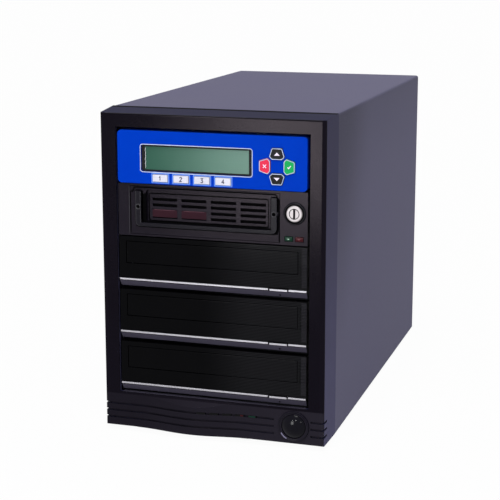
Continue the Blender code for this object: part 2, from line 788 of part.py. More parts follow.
def base_pan():
    """The floor of the case, with a lip up each side and a hole for each foot's stud."""
    x = (-INNER_HALF, INNER_HALF)
    y = (FRAME_FRONT, BACK - FIT)
    z = (CASE_BOTTOM, PAN_TOP + PAN_LIP)
    pan = folded_sheet("base_pan", x, y, z, ((0, 0, 1), (0, 1, 0), (0, -1, 0)), "bare_steel")
    hole_z = (CASE_BOTTOM - OVERRUN, PAN_TOP + OVERRUN)
    for name, (across, along) in foot_places().items():
        hole = rod_tool(name + "_hole", FOOT_STUD_RADIUS + FIT, "Z", across, along, hole_z, COARSE_SIDES)
        cut(pan, hole)


def feet():
    """Four rubber feet, each with a stud up through the base pan."""
    height = CASE_BOTTOM - FIT
    tip = PAN_TOP + FOOT_STUD_RISE
    for name, (across, along) in foot_places().items():
        profile = [
            (0, tip),
            (FOOT_STUD_RADIUS, tip),
            (FOOT_STUD_RADIUS, height),
            (FOOT_RADIUS, height),
            (FOOT_RADIUS - FOOT_TAPER, 0),
            (0, 0),
        ]
        turned(name, profile, (across, along, 0), (0, 0, 0), "foot_rubber", sides=COARSE_SIDES)


def front_frame():
    """The steel plate behind the bezel, flanged to the rear, with the bay opening."""
    inside = SHEET + FIT
    x = (-INNER_HALF + inside, INNER_HALF - inside)
    y = (FRAME_FRONT, FRAME_FRONT + FLANGE)
    z = (FRAME_BOTTOM, INNER_TOP)
    frame = folded_sheet("front_frame", x, y, z, ((0, 1, 0),), "bare_steel")
    reach = BODY_HALF + FIT
    opening_z = (OPENING_BOTTOM, OPENING_TOP)
    opening = ((-reach, reach), grown((FRAME_FRONT, FRAME_BACK), OVERRUN), opening_z)
    cut(frame, block_tool("frame_opening", opening))


def bay_cages():
    """The two upright walls that the bay units are screwed to."""
    y = (FRAME_BACK + FIT, FRAME_BACK + FIT + CAGE_DEPTH)
    z = (FRAME_BOTTOM + SHEET + FIT, INNER_TOP - SHEET - FIT)
    near = BODY_HALF + FIT
    start = y[0] + CAGE_SLOT_START
    for name, side in (("bay_cage_left", -1), ("bay_cage_right", 1)):
        x = tuple(sorted((side * near, side * (near + CAGE_FLANGE))))
        cage = folded_sheet(name, x, y, z, ((side, 0, 0), (0, 1, 0)), "bare_steel")
        slots = []
        for bay in range(BAY_COUNT):
            slot_z = about(bay_floor(bay) + BAY_PITCH / 2, CAGE_SLOT_HEIGHT)
            across = grown(tuple(sorted((side * near, side * (near + SHEET)))), OVERRUN)
            slots.append((across, (start, start + CAGE_SLOT_LENGTH), slot_z))
        cut(cage, block_tool(name + "_slots", *slots))


def ring_slots(x, z):
    """The outlines of a fan guard's slots: rings broken into sectors."""
    step = (FAN_BORE_RADIUS - FAN_HUB_RADIUS) / GUARD_RINGS
    loops = []
    for ring in range(GUARD_RINGS):
        inner = FAN_HUB_RADIUS + ring * step + GUARD_WIRE / 2
        outer = FAN_HUB_RADIUS + (ring + 1) * step - GUARD_WIRE / 2
        for sector in range(GUARD_SECTORS):
            loops.append(sector_loop(x, z, inner, outer, sector))
    return loops


def sector_loop(x, z, inner, outer, sector):
    """One slot of a fan guard, between two radii and two spokes."""
    loop = []
    for radius, order in ((outer, 1), (inner, -1)):
        spoke = GUARD_WIRE / 2 / radius
        first = sector * 2 * math.pi / GUARD_SECTORS + spoke
        sweep = 2 * math.pi / GUARD_SECTORS - 2 * spoke
        arc = [first + sweep * step / GUARD_STEPS for step in range(GUARD_STEPS + 1)]
        loop += [(x + radius * math.cos(angle), z + radius * math.sin(angle)) for angle in arc[::order]]
    return loop


def supply_spans():
    """The X, Y and Z spans of the power supply's housing."""
    top = INNER_TOP - SHEET - SUPPLY_DROP
    back = REAR_INSIDE - FIT
    return about(0, SUPPLY_WIDTH), (back - SUPPLY_DEPTH, back), (top - SUPPLY_HEIGHT, top)


def rear_panel():
    """The steel rear panel, with the power supply's window, the fan's guard and side vents."""
    y = (REAR_OUTSIDE - FLANGE, REAR_OUTSIDE)
    inside = SHEET + FIT
    x = (-INNER_HALF + inside, INNER_HALF - inside)
    z = (PAN_TOP + FIT, INNER_TOP)
    panel = folded_sheet("rear_panel", x, y, z, ((0, -1, 0),), "case_paint")
    through = grown((REAR_INSIDE, REAR_OUTSIDE), OVERRUN)
    supply_x, _, supply_z = supply_spans()
    window = (grown(supply_x, -SUPPLY_RIM), through, grown(supply_z, -SUPPLY_RIM))
    cut(panel, block_tool("supply_window", window))
    fan_z = CASE_BOTTOM + FAN_RISE
    cut(panel, front_outline_tool("fan_guard", ring_slots(FAN_X, fan_z), through))
    first = fan_z - (VENT_COUNT - 1) * VENT_PITCH / 2
    vents = [
        (about(VENT_X, VENT_LENGTH), through, about(first + number * VENT_PITCH, VENT_HEIGHT))
        for number in range(VENT_COUNT)
    ]
    cut(panel, block_tool("rear_vents", *vents))


def panel_floor():
    """The height of the control panel's lower edge."""
    return rack_floor() + RACK_HEIGHT + PANEL_SEAT


def key_middle(number):
    """The middle of an oblong function button in the front view."""
    return KEY_FIRST_X + number * KEY_PITCH, panel_floor() + KEY_FLOOR + KEY_HEIGHT / 2


def pad_loop(quarter, growth):
    """The six-sided outline of an arrow button that points to one quarter, made larger by a growth."""
    inner = PAD_REACH - PAD_KEY_DEPTH / 2 - growth
    outer = PAD_REACH + PAD_KEY_DEPTH / 2 + growth
    wide = PAD_REACH - PAD_KEY_DEPTH / 2 + PAD_KEY_DEPTH * PAD_WIDE_SHARE
    halves = ((inner, PAD_INNER_HALF), (wide, PAD_WIDE_HALF), (outer, PAD_OUTER_HALF))
    points = [(half + growth, reach) for reach, half in halves]
    points += [(-half - growth, reach) for reach, half in reversed(halves)]
    angle = quarter * math.pi / 2
    turn = math.cos(angle), math.sin(angle)
    rise = panel_floor() + PAD_RISE
    return [(PAD_X + x * turn[0] - z * turn[1], rise + x * turn[1] + z * turn[0]) for x, z in points]


def control_panel():
    """The blue housing in the top bay, with the display's window and eight button holes."""
    face = FRONT - PANEL_PROUD
    x = about(0, PANEL_WIDTH)
    y = (face, FRONT + PANEL_DEPTH)
    z = (panel_floor(), panel_floor() + PANEL_HEIGHT)
    mesh = outline_mesh("control_panel", [rounded_loop(x, z, PANEL_CORNER)], y[1] - y[0], FRONT_VIEW)
    panel = piece("control_panel", mesh, (0, middle(y), 0), "panel_blue")
    hollow = (grown(x, -PANEL_WALL), (face + PANEL_WALL, y[1] + OVERRUN), grown(z, -PANEL_EDGE))
    cut(panel, block_tool("panel_hollow", hollow))
    through = (face - OVERRUN, face + PANEL_WALL + OVERRUN)
    lcd_x, lcd_z = lcd_spans()
    cut(panel, front_outline_tool("lcd_window", [rounded_loop(lcd_x, lcd_z, LCD_CORNER)], through))
    holes = []
    for number in range(KEY_COUNT):
        across, up = key_middle(number)
        holes.append((about(across, KEY_WIDTH + 2 * FIT), through, about(up, KEY_HEIGHT + 2 * FIT)))
    cut(panel, block_tool("key_holes", *holes))
    pads = [pad_loop(quarter, FIT) for quarter in range(4)]
    cut(panel, front_outline_tool("pad_holes", pads, through))


def lcd_spans():
    """The X and Z spans of the display's window."""
    floor = panel_floor() + LCD_FLOOR
    return (LCD_LEFT, LCD_LEFT + LCD_WIDTH), (floor, floor + LCD_HEIGHT)


def lcd_display():
    """The display module: a framed block behind the window, its face in a shallow recess."""
    x, z = lcd_spans()
    wall_back = FRONT - PANEL_PROUD + PANEL_WALL
    face = FRONT - PANEL_PROUD + LCD_SETBACK
    back = wall_back + LCD_DEPTH
    rim = rounded_loop(grown(x, -FIT), grown(z, -FIT), LCD_CORNER)
    mesh = outline_mesh("lcd_display", [rim], back - face, FRONT_VIEW)
    display = piece("lcd_display", mesh, (0, middle((face, back)), 0), "display")
    base = grown(x, LCD_BLOCK_MARGIN), (wall_back + FIT, back + FIT), grown(z, LCD_BLOCK_MARGIN)
    fuse(display, block_tool("lcd_base", base))
    glass = grown(x, -LCD_BORDER), (face - OVERRUN, face + LCD_SETBACK / 2), grown(z, -LCD_BORDER / 2)
    cut(display, block_tool("lcd_glass_recess", glass))


def panel_board_front():
    """Where the front of the panel's circuit board lies."""
    return FRONT - PANEL_PROUD + PANEL_WALL + LCD_DEPTH + 2 * FIT


def panel_board():
    """The circuit board behind the display, with a switch behind each button."""
    front = panel_board_front()
    x = grown(about(0, PANEL_WIDTH), -PANEL_WALL - BOARD_MARGIN)
    z = (panel_floor() + BOARD_MARGIN * 2, panel_floor() + PANEL_HEIGHT - BOARD_MARGIN * 2)
    board = block("panel_board", x, (front, front + BOARD_THICKNESS), z, "board_green")
    reach = FRONT - PANEL_PROUD + PANEL_WALL + FIT + KEY_FLANGE_THICKNESS + KEY_TRAVEL + FIT
    y = (reach, front + BOARD_THICKNESS / 2)
    middles = [key_middle(number) for number in range(KEY_COUNT)]
    for quarter in range(4):
        loop = pad_loop(quarter, 0)
        middles.append((sum(p[0] for p in loop) / len(loop), sum(p[1] for p in loop) / len(loop)))
    switches = [(about(across, SWITCH_SIDE), y, about(up, SWITCH_SIDE)) for across, up in middles]
    fuse(board, block_tool("panel_switches", *switches))


def function_key(number):
    """One oblong button, kept in its hole by a flange behind the panel's wall."""
    across, up = key_middle(number)
    face = FRONT - PANEL_PROUD - KEY_PROUD
    seat = FRONT - PANEL_PROUD + PANEL_WALL + FIT
    flange = seat + KEY_FLANGE_THICKNESS
    x, z = about(across, KEY_WIDTH), about(up, KEY_HEIGHT)
    key = block(f"function_key_{number + 1}", x, (face, flange - FIT), z, "key_white")
    rim = grown(x, KEY_FLANGE), (seat, flange), grown(z, KEY_FLANGE / 2)
    fuse(key, block_tool(key.name + "_flange", rim))


def pad_key(name, quarter, finish_name):
    """One six-sided button of the arrow group, with its flange."""
    face = FRONT - PANEL_PROUD - KEY_PROUD
    seat = FRONT - PANEL_PROUD + PANEL_WALL + FIT
    flange = seat + KEY_FLANGE_THICKNESS
    loop = pad_loop(quarter, 0)
    centre = Vector((sum(p[0] for p in loop) / len(loop), 0, sum(p[1] for p in loop) / len(loop)))
    near = [(across - centre.x, up - centre.z) for across, up in loop]
    mesh = outline_mesh(name, [near], flange - FIT - face, FRONT_VIEW)
    key = piece(name, mesh, (centre.x, (face + flange - FIT) / 2, centre.z), finish_name)
    fuse(key, front_outline_tool(name + "_flange", [pad_loop(quarter, PAD_FLANGE)], (seat, flange)))


def rack_floor():
    """The height of the hard-drive rack's lower edge."""
    return bay_floor(1) + FIT


def carrier_spans():
    """The X and Z spans of the carrier, between the rack's strip and its lock panel."""
    left = STRIP_WIDTH - FACE_HALF
    x = (left, left + CARRIER_WIDTH)
    z = (rack_floor() + RACK_WALL + FIT, rack_floor() + RACK_HEIGHT - RACK_WALL - FIT)
    return x, z


def rack_frame():
    """The fixed frame of the rack, open in front for the carrier, with the lock panel at the right."""
    floor = rack_floor()
    z = (floor, floor + RACK_HEIGHT)
    body = (-BODY_HALF, BODY_HALF)
    rack = block("rack_frame", body, (FRONT + DRIVE_FACE_DEPTH / 2, FRONT + RACK_DEPTH), z, "rack_plastic")
    face = (-FACE_HALF, FACE_HALF), (FRONT, FRONT + DRIVE_FACE_DEPTH), grown(z, -FIT / 2)
    fuse(rack, block_tool("rack_face", face))
    carrier_x, carrier_z = carrier_spans()
    bay_y = (FRONT - OVERRUN, FRONT + RACK_DEPTH - RACK_REAR_WALL)
    bay = grown(carrier_x, FIT), bay_y, grown(carrier_z, FIT)
    lock_x = (carrier_x[1] + FIT + RACK_SIDE_WALL, BODY_HALF - RACK_SIDE_WALL)
    lock = lock_x, (FRONT + BEZEL_WALL, FRONT + RACK_DEPTH + OVERRUN), grown(z, -RACK_SIDE_WALL)
    strip_x = (-BODY_HALF + RACK_SIDE_WALL, carrier_x[0] - FIT - RACK_SIDE_WALL)
    strip = strip_x, lock[1], lock[2]
    cut(rack, block_tool("rack_hollows", bay, lock, strip))
    through = (FRONT - OVERRUN, FRONT + BEZEL_WALL + OVERRUN)
    lock_y = (FRONT - OVERRUN, FRONT + COLLAR_DEPTH + OVERRUN)
    cut(rack, rod_tool("lock_hole", COLLAR_SLEEVE + FIT, "Y", LOCK_X, lock_y, floor + LOCK_RISE))
    lamp_z = about(floor + LAMP_RISE, LAMP_HEIGHT + 2 * FIT)
    lamps = [(about(x, LAMP_WIDTH + 2 * FIT), through, lamp_z) for x in (LAMP_GREEN_X, LAMP_RED_X)]
    cut(rack, block_tool("lamp_holes", *lamps))


def rack_lamp(name, x, finish_name):
    """A small oblong lamp lens in the lock panel."""
    z = about(rack_floor() + LAMP_RISE, LAMP_HEIGHT)
    block(name, about(x, LAMP_WIDTH), (FRONT - LAMP_PROUD, FRONT + LAMP_LENGTH), z, finish_name)


def lock_collar():
    """The black collar round the lock, its sleeve through the lock panel."""
    bore = BARREL_RADIUS + FIT
    top = COLLAR_PROUD
    profile = [
        (bore, top),
        (COLLAR_RADIUS - COLLAR_PROUD / 2, top),
        (COLLAR_RADIUS, top / 2),
        (COLLAR_RADIUS, FIT),
        (COLLAR_SLEEVE, FIT),
        (COLLAR_SLEEVE, -COLLAR_DEPTH),
        (bore, -COLLAR_DEPTH),
    ]
    place = (LOCK_X, FRONT, rack_floor() + LOCK_RISE)
    turned("lock_collar", profile, place, TO_FRONT, "rack_plastic", closed=True)


def key_cylinder():
    """The chrome lock barrel, with its keyway."""
    profile = [
        (0, BARREL_PROUD),
        (BARREL_RADIUS - KEYWAY_WIDTH / 2, BARREL_PROUD),
        (BARREL_RADIUS, BARREL_PROUD - KEYWAY_WIDTH / 2),
        (BARREL_RADIUS, BARREL_PROUD - BARREL_LENGTH),
        (0, BARREL_PROUD - BARREL_LENGTH),
    ]
    place = (LOCK_X, FRONT, rack_floor() + LOCK_RISE)
    barrel = turned("key_cylinder", profile, place, TO_FRONT, "lock_chrome")
    face = FRONT - BARREL_PROUD
    y = (face - OVERRUN, face + KEYWAY_DEPTH)
    keyway = about(LOCK_X, KEYWAY_WIDTH), y, about(place[2], KEYWAY_HEIGHT)
    cut(barrel, block_tool("keyway", keyway))


def grille_spans():
    """The X and Z spans of the recessed grille in the carrier's face."""
    floor = rack_floor() + GRILLE_FLOOR
    return (GRILLE_LEFT, GRILLE_LEFT + GRILLE_WIDTH), (floor, floor + GRILLE_HEIGHT)


def handle_hinge_y():
    """How far back the handle's pivot lies."""
    return FRONT - HANDLE_PROUD + HANDLE_THICKNESS / 2


def rack_carrier():
    """The removable carrier: a nose with the grille and handle tracks, and a tray for the disk."""
    x, z = carrier_spans()
    y = (FRONT, FRONT + RACK_DEPTH - RACK_REAR_WALL - FIT)
    carrier = block("rack_carrier", x, y, z, "rack_plastic")
    well_y = (FRONT + CARRIER_NOSE, y[1] - CARRIER_WALL)
    well = grown(x, -CARRIER_WALL), well_y, (z[0] + CARRIER_FLOOR, z[1] + OVERRUN)
    grille_x, grille_z = grille_spans()
    vent_y = (FRONT + GRILLE_RECESS + GRILLE_WALL, FRONT + CARRIER_NOSE + OVERRUN)
    vent = grown(grille_x, -CARRIER_WALL), vent_y, grown(grille_z, -CARRIER_WALL)
    cut(carrier, block_tool("disk_well", well))
    cut(carrier, block_tool("grille_duct", vent))
    recess_y = (FRONT - OVERRUN, FRONT + GRILLE_RECESS)
    recess = rounded_loop(grille_x, grille_z, GRILLE_CORNER)
    cut(carrier, front_outline_tool("grille_recess", [recess], recess_y))
    through = (FRONT, FRONT + GRILLE_RECESS + GRILLE_WALL + OVERRUN)
    slots = []
    for column in range(SLOT_COLUMNS):
        left = grille_x[0] + SLOT_MARGIN_LEFT + column * SLOT_PITCH
        for row in range(SLOT_ROWS):
            low = grille_z[0] + SLOT_FLOOR + row * SLOT_ROW_PITCH
            slots.append(((left, left + SLOT_WIDTH), through, (low, low + SLOT_HEIGHT)))
    cut(carrier, block_tool("grille_slots", *slots))
    cut_handle_tracks(carrier)


def cut_handle_tracks(carrier):
    """Cuts the room for the handle's arms and bar, and the two pivot holes, in the carrier."""
    floor = rack_floor()
    ahead = FRONT - OVERRUN
    arm_z = (floor + HANDLE_BAR_FLOOR - FIT * 2, floor + HANDLE_TOP + FIT * 2)
    deep = (ahead, FRONT + HANDLE_TRACK)
    arms = []
    for arm in handle_arms():
        arms.append((grown(arm, FIT), deep, arm_z))
    cut(carrier, block_tool("handle_tracks", *arms))
    bar_z = grown((floor + HANDLE_BAR_FLOOR, floor + HANDLE_BAR_FLOOR + HANDLE_BAR), FIT)
    bar_y = (ahead, FRONT - HANDLE_PROUD + HANDLE_THICKNESS + FIT)
    cut(carrier, block_tool("handle_bar_track", ((HANDLE_LEFT, HANDLE_RIGHT), bar_y, bar_z)))
    reach = PIVOT_REACH + FIT
    across = (HANDLE_LEFT - reach, HANDLE_RIGHT + reach)
    pivot = floor + PIVOT_RISE
    left = (across[0], HANDLE_LEFT)
    right = (HANDLE_RIGHT, across[1])
    for name, x in (("pivot_hole_left", left), ("pivot_hole_right", right)):
        hole = rod_tool(name, PIVOT_RADIUS + FIT, "X", x, handle_hinge_y(), pivot, COARSE_SIDES)
        cut(carrier, hole)


def handle_arms():
    """The X spans of the handle's two arms."""
    return (HANDLE_LEFT, HANDLE_LEFT + HANDLE_ARM), (HANDLE_RIGHT - HANDLE_ARM, HANDLE_RIGHT)


def rack_handle():
    """The U-shaped bail handle, with a pivot pin out of each arm. Its origin is on the pivot."""
    pivot = Vector((0, handle_hinge_y(), rack_floor() + PIVOT_RISE))
    low = HANDLE_BAR_FLOOR - PIVOT_RISE
    high = HANDLE_TOP - PIVOT_RISE
    left, right = handle_arms()
    outer = []
    for centre_x, first in ((left[0] + HANDLE_CORNER, 2), (right[1] - HANDLE_CORNER, 3)):
        for step in range(5):
            angle = (first + step / 4) * math.pi / 2
            across = centre_x + HANDLE_CORNER * math.cos(angle)
            outer.append((across, low + HANDLE_CORNER + HANDLE_CORNER * math.sin(angle)))
    inner = [(right[0], high), (right[0], low + HANDLE_BAR), (left[1], low + HANDLE_BAR), (left[1], high)]
    loop = [(left[0], high)] + outer + [(right[1], high)] + inner
    mesh = outline_mesh("rack_handle", [loop], HANDLE_THICKNESS, FRONT_VIEW)
    handle = piece("rack_handle", mesh, pivot, "rack_plastic")
    embed = HANDLE_ARM / 2
    pins = (
        ("pivot_pin_left", (left[0] - PIVOT_REACH, left[0] + embed)),
        ("pivot_pin_right", (right[1] - embed, right[1] + PIVOT_REACH)),
    )
    for name, x in pins:
        fuse(handle, rod_tool(name, PIVOT_RADIUS, "X", x, pivot.y, pivot.z, COARSE_SIDES))


def hard_drive():
    """The disk that rides in the carrier."""
    x, z = carrier_spans()
    floor = z[0] + CARRIER_FLOOR + FIT
    front = FRONT + CARRIER_NOSE + CARRIER_WALL
    disk = block(
        "hard_drive",
        about(middle(x), DISK_WIDTH),
        (front, front + DISK_LENGTH),
        (floor, floor + DISK_HEIGHT),
        "disk_metal",
    )
    soften(disk, DISK_CHAMFER)


def drive_floor(number):
    """The height of an optical drive's underside; number 1 is the top drive."""
    return bay_floor(number + 1) + FIT


def drive_shell(number):
    """The steel body of an optical drive, open in front, with two tray runners and a motor boss."""
    floor = drive_floor(number)
    front = FRONT + DRIVE_FACE_DEPTH + FIT
    y = (front, front + SHELL_LENGTH)
    z = (floor, floor + DRIVE_HEIGHT - FIT)
    x = (-BODY_HALF, BODY_HALF)
    shell = folded_sheet(f"drive_shell_{number}", x, y, z, ((0, -1, 0),), "bare_steel")
    runner_top = floor + DOOR_FLOOR + TRAY_LIFT - FIT
    runner_z = (runner_top - RUNNER_HEIGHT, runner_top)
    wall = BODY_HALF - SHEET / 2
    runner_y = (y[0] + FIT, y[0] + TRAY_LENGTH)
    runners = [
        ((-wall, -wall + RUNNER_WIDTH), runner_y, runner_z),
        ((wall - RUNNER_WIDTH, wall), runner_y, runner_z),
    ]
    fuse(shell, block_tool(shell.name + "_runners", *runners))
    boss_z = (floor + SHEET / 2, floor + SHEET + MOTOR_HEIGHT)
    boss = rod_tool(
        shell.name + "_motor", MOTOR_RADIUS, "Z", 0, FRONT + DISC_CENTRE, boss_z, COARSE_SIDES
    )
    fuse(shell, boss)


def drive_bezel(number):
    """The glossy front of an optical drive: face, bright strip's ridge and sloped lower edge."""
    name = f"drive_bezel_{number}"
    floor = drive_floor(number)
    top = floor + DRIVE_HEIGHT - FIT
    back = FRONT + DRIVE_FACE_DEPTH
    strip = (floor + STRIP_FLOOR, floor + STRIP_FLOOR + STRIP_HEIGHT)
    side = [
        (FRONT, top),
        (FRONT, strip[1]),
        (FRONT - STRIP_PROUD, strip[1]),
        (FRONT - STRIP_PROUD, strip[0]),
        (FRONT, strip[0]),
        (FRONT + FASCIA_SLOPE, floor),
        (back, floor),
        (back, top),
    ]
    mesh = outline_mesh(name, [side[::-1]], DRIVE_FACE_WIDTH, SIDE_VIEW)
    bezel = piece(name, mesh, (0, 0, 0), "drive_gloss")
    hollow_z = (floor + FACE_SIDE_WALL, top - FACE_SIDE_WALL)
    hollow_x = FACE_HALF - FACE_SIDE_WALL
    hollow_y = (FRONT + FACE_WALL + FASCIA_SLOPE / 2, back + OVERRUN)
    cut(bezel, block_tool(name + "_hollow", ((-hollow_x, hollow_x), hollow_y, hollow_z)))
    through = (FRONT - STRIP_PROUD - OVERRUN, hollow_y[0] + OVERRUN)
    door_z = (floor + DOOR_FLOOR, floor + DOOR_FLOOR + DOOR_HEIGHT)
    door = grown((DOOR_LEFT, DOOR_RIGHT), FIT), through, grown(door_z, FIT)
    button = (EJECT_LEFT, EJECT_RIGHT), through, grown(strip, FIT)
    cut(bezel, block_tool(name + "_openings", door, button))
    ribs = []
    for rib in range(RIB_COUNT):
        low = door_z[0] + rib * RIB_PITCH
        rib_x = (DOOR_RIGHT + RIB_GAP * 2, FACE_HALF + OVERRUN)
        ribs.append((rib_x, (FRONT - OVERRUN, FRONT + RIB_DEPTH), (low, low + RIB_GAP)))
    cut(bezel, block_tool(name + "_ribs", *ribs))


def eject_button(number):
    """The eject button: a stretch of the bright strip, with a wider tail behind the face's wall."""
    floor = drive_floor(number)
    wall = FRONT + FACE_WALL + FASCIA_SLOPE / 2 + FIT
    face = FRONT - STRIP_PROUD - EJECT_PROUD
    x = grown((EJECT_LEFT, EJECT_RIGHT), -FIT)
    wide = grown(x, EJECT_FLANGE)
    tail = wall + EJECT_TAIL
    plan = [(x[0], face), (x[1], face), (x[1], wall), (wide[1], wall)]
    plan += [(wide[1], tail), (wide[0], tail), (wide[0], wall), (x[0], wall)]
    centre = Vector((middle(x), middle((face, tail)), floor + STRIP_FLOOR + STRIP_HEIGHT / 2))
    near = [(across - centre.x, along - centre.y) for across, along in plan]
    name = f"eject_button_{number}"
    mesh = outline_mesh(name, [near], STRIP_HEIGHT, PLAN_VIEW)
    piece(name, mesh, centre, "bright_key")


def tray_spans(number):
    """The X, Y and Z spans of a disc tray at rest."""
    floor = drive_floor(number) + DOOR_FLOOR + TRAY_LIFT
    front = FRONT + DOOR_THICKNESS + FIT
    return about(0, TRAY_WIDTH), (front, front + TRAY_LENGTH), (floor, floor + TRAY_THICKNESS)


def drive_tray(number):
    """The disc tray, with its two round recesses and the slot for the spindle and the lens."""
    x, y, z = tray_spans(number)
    tray = block(f"drive_tray_{number}", x, y, z, "tray_plastic")
    middle_y = FRONT + DISC_CENTRE
    large_z = (z[1] - DISC_DEPTH, z[1] + OVERRUN)
    small_z = (large_z[0] - SMALL_DISC_DEPTH, z[1])
    cut(tray, rod_tool(tray.name + "_disc", DISC_RADIUS, "Z", 0, middle_y, large_z))
    cut(tray, rod_tool(tray.name + "_small_disc", SMALL_DISC_RADIUS, "Z", 0, middle_y, small_z))
    slot_y = (middle_y - TRAY_SLOT_WIDTH / 2, y[1] - TRAY_SLOT_END)
    slot = about(0, TRAY_SLOT_WIDTH), slot_y, grown(z, OVERRUN)
    cut(tray, block_tool(tray.name + "_slot", slot))


def tray_door(number):
    """The front door of a tray, flush with the drive's face."""
    floor = drive_floor(number) + DOOR_FLOOR
    y = (FRONT, FRONT + DOOR_THICKNESS)
    x = (DOOR_LEFT, DOOR_RIGHT)
    door = block(f"tray_door_{number}", x, y, (floor, floor + DOOR_HEIGHT), "drive_gloss")
    soften(door, DOOR_CHAMFER)


def spindle(number):
    """The turntable that carries the disc, parked under the tray."""
    base = drive_floor(number) + SHEET + MOTOR_HEIGHT + FIT
    top = drive_floor(number) + DOOR_FLOOR + TRAY_LIFT - SPINDLE_TOP_GAP - base
    profile = [
        (0, top),
        (SPINDLE_NOSE_RADIUS, top),
        (SPINDLE_HUB_RADIUS, top / 2),
        (SPINDLE_HUB_RADIUS, SPINDLE_PLATE),
        (SPINDLE_RADIUS, SPINDLE_PLATE),
        (SPINDLE_RADIUS, 0),
        (0, 0),
    ]
    place = (0, FRONT + DISC_CENTRE, base)
    turned(f"spindle_{number}", profile, place, (0, 0, 0), "spindle_metal", sides=COARSE_SIDES)


def optical_drive(number):
    """One complete optical drive."""
    drive_shell(number)
    drive_bezel(number)
    eject_button(number)
    drive_tray(number)
    tray_door(number)
    spindle(number)


def controller():
    """The bracket in the top bay and the controller board on its four bosses."""
    floor = rack_floor() + RACK_HEIGHT + BRACKET_SEAT
    front = FRONT + PANEL_DEPTH + FIT
    x = (-BODY_HALF, BODY_HALF)
    y = (front, front + BRACKET_LENGTH)
    z = (floor, floor + BRACKET_SIDE)
    bracket = folded_sheet("controller_bracket", x, y, z, ((0, 0, 1), (0, 1, 0), (0, -1, 0)), "bare_steel")
    board_x = about(0, CONTROLLER_WIDTH)
    board_y = (front + CONTROLLER_SETBACK, front + CONTROLLER_SETBACK + CONTROLLER_LENGTH)
    boss_z = (floor + SHEET / 2, floor + SHEET + BOSS_HEIGHT)
    number = 0
    for across in grown(board_x, -BOSS_INSET):
        for along in grown(board_y, -BOSS_INSET):
            number += 1
            name = f"board_boss_{number}"
            fuse(bracket, rod_tool(name, BOSS_RADIUS, "Z", across, along, boss_z, COARSE_SIDES))
    low = boss_z[1] + FIT
    board = block("controller_board", board_x, board_y, (low, low + BOARD_THICKNESS), "board_green")
    top = low + BOARD_THICKNESS
    seat = top - BOARD_THICKNESS / 2
    fittings = [(about(0, CHIP_SIDE), about(middle(board_y), CHIP_SIDE), (seat, top + CHIP_HEIGHT))]
    plug_y = (board_y[1] - PLUG_DEPTH, board_y[1] - FIT)
    for place in range(-1, DRIVE_COUNT - 1):
        fittings.append((about(place * PLUG_PITCH, PLUG_WIDTH), plug_y, (seat, top + PLUG_HEIGHT)))
    fuse(board, block_tool("controller_fittings", *fittings))


def rocker_middle():
    """The middle of the rocker switch: where its pivot lies."""
    _, y, z = supply_spans()
    return INLET_X, y[1], z[0] + SWITCH_RISE


def power_supply():
    """The power supply's steel housing, with its fan guard and the holes for inlet and rocker."""
    x, y, z = supply_spans()
    supply = block("power_supply", x, y, z, "bare_steel")
    cut(supply, block_tool("supply_hollow", (grown(x, -SHEET), grown(y, -SHEET), grown(z, -SHEET))))
    rear = grown((y[1] - SHEET, y[1]), OVERRUN)
    cut(supply, front_outline_tool("supply_guard", ring_slots(SUPPLY_FAN_X, middle(z)), rear))
    inlet_z = about(z[0] + INLET_RISE, INLET_HEIGHT + 2 * FIT)
    inlet = about(INLET_X, INLET_WIDTH + 2 * FIT), rear, inlet_z
    rocker_x, _, rocker_z = rocker_middle()
    rocker = about(rocker_x, ROCKER_WIDTH + 2 * FIT), rear, about(rocker_z, ROCKER_HEIGHT + 4 * FIT)
    ahead = grown((y[0], y[0] + SHEET), OVERRUN)
    lead = about(LEAD_HOLE_X, LEAD_HOLE_WIDTH), ahead, about(z[0] + INLET_RISE, LEAD_HOLE_HEIGHT)
    cut(supply, block_tool("supply_holes", inlet, rocker, lead))


def psu_inlet():
    """The mains inlet: a moulded socket body, open to the rear."""
    _, y, z = supply_spans()
    inlet_x = about(INLET_X, INLET_WIDTH)
    inlet_z = about(z[0] + INLET_RISE, INLET_HEIGHT)
    inlet = block("psu_inlet", inlet_x, (y[1] - INLET_DEPTH, y[1]), inlet_z, "socket_plastic")
    socket_y = (y[1] - SOCKET_DEPTH, y[1] + OVERRUN)
    socket = grown(inlet_x, -INLET_WALL), socket_y, grown(inlet_z, -INLET_WALL)
    cut(inlet, block_tool("inlet_socket", socket))


def psu_switch():
    """The rocker, tilted to one of its two resting places about a pivot on its middle."""
    x, y, z = rocker_middle()
    tilt = math.radians(ROCKER_TILT_DEGREES)
    half = ROCKER_HEIGHT / 2
    crest = half * math.tan(tilt)
    side = [(0, half), (-crest, 0), (0, -half), (-ROCKER_DEPTH, -half + crest), (-ROCKER_DEPTH, half - crest)]
    mesh = outline_mesh("psu_switch", [side], ROCKER_WIDTH, SIDE_VIEW)
    rocker = piece("psu_switch", mesh, (x, y, z), "socket_plastic")
    rocker.rotation_euler = (tilt, 0, 0)


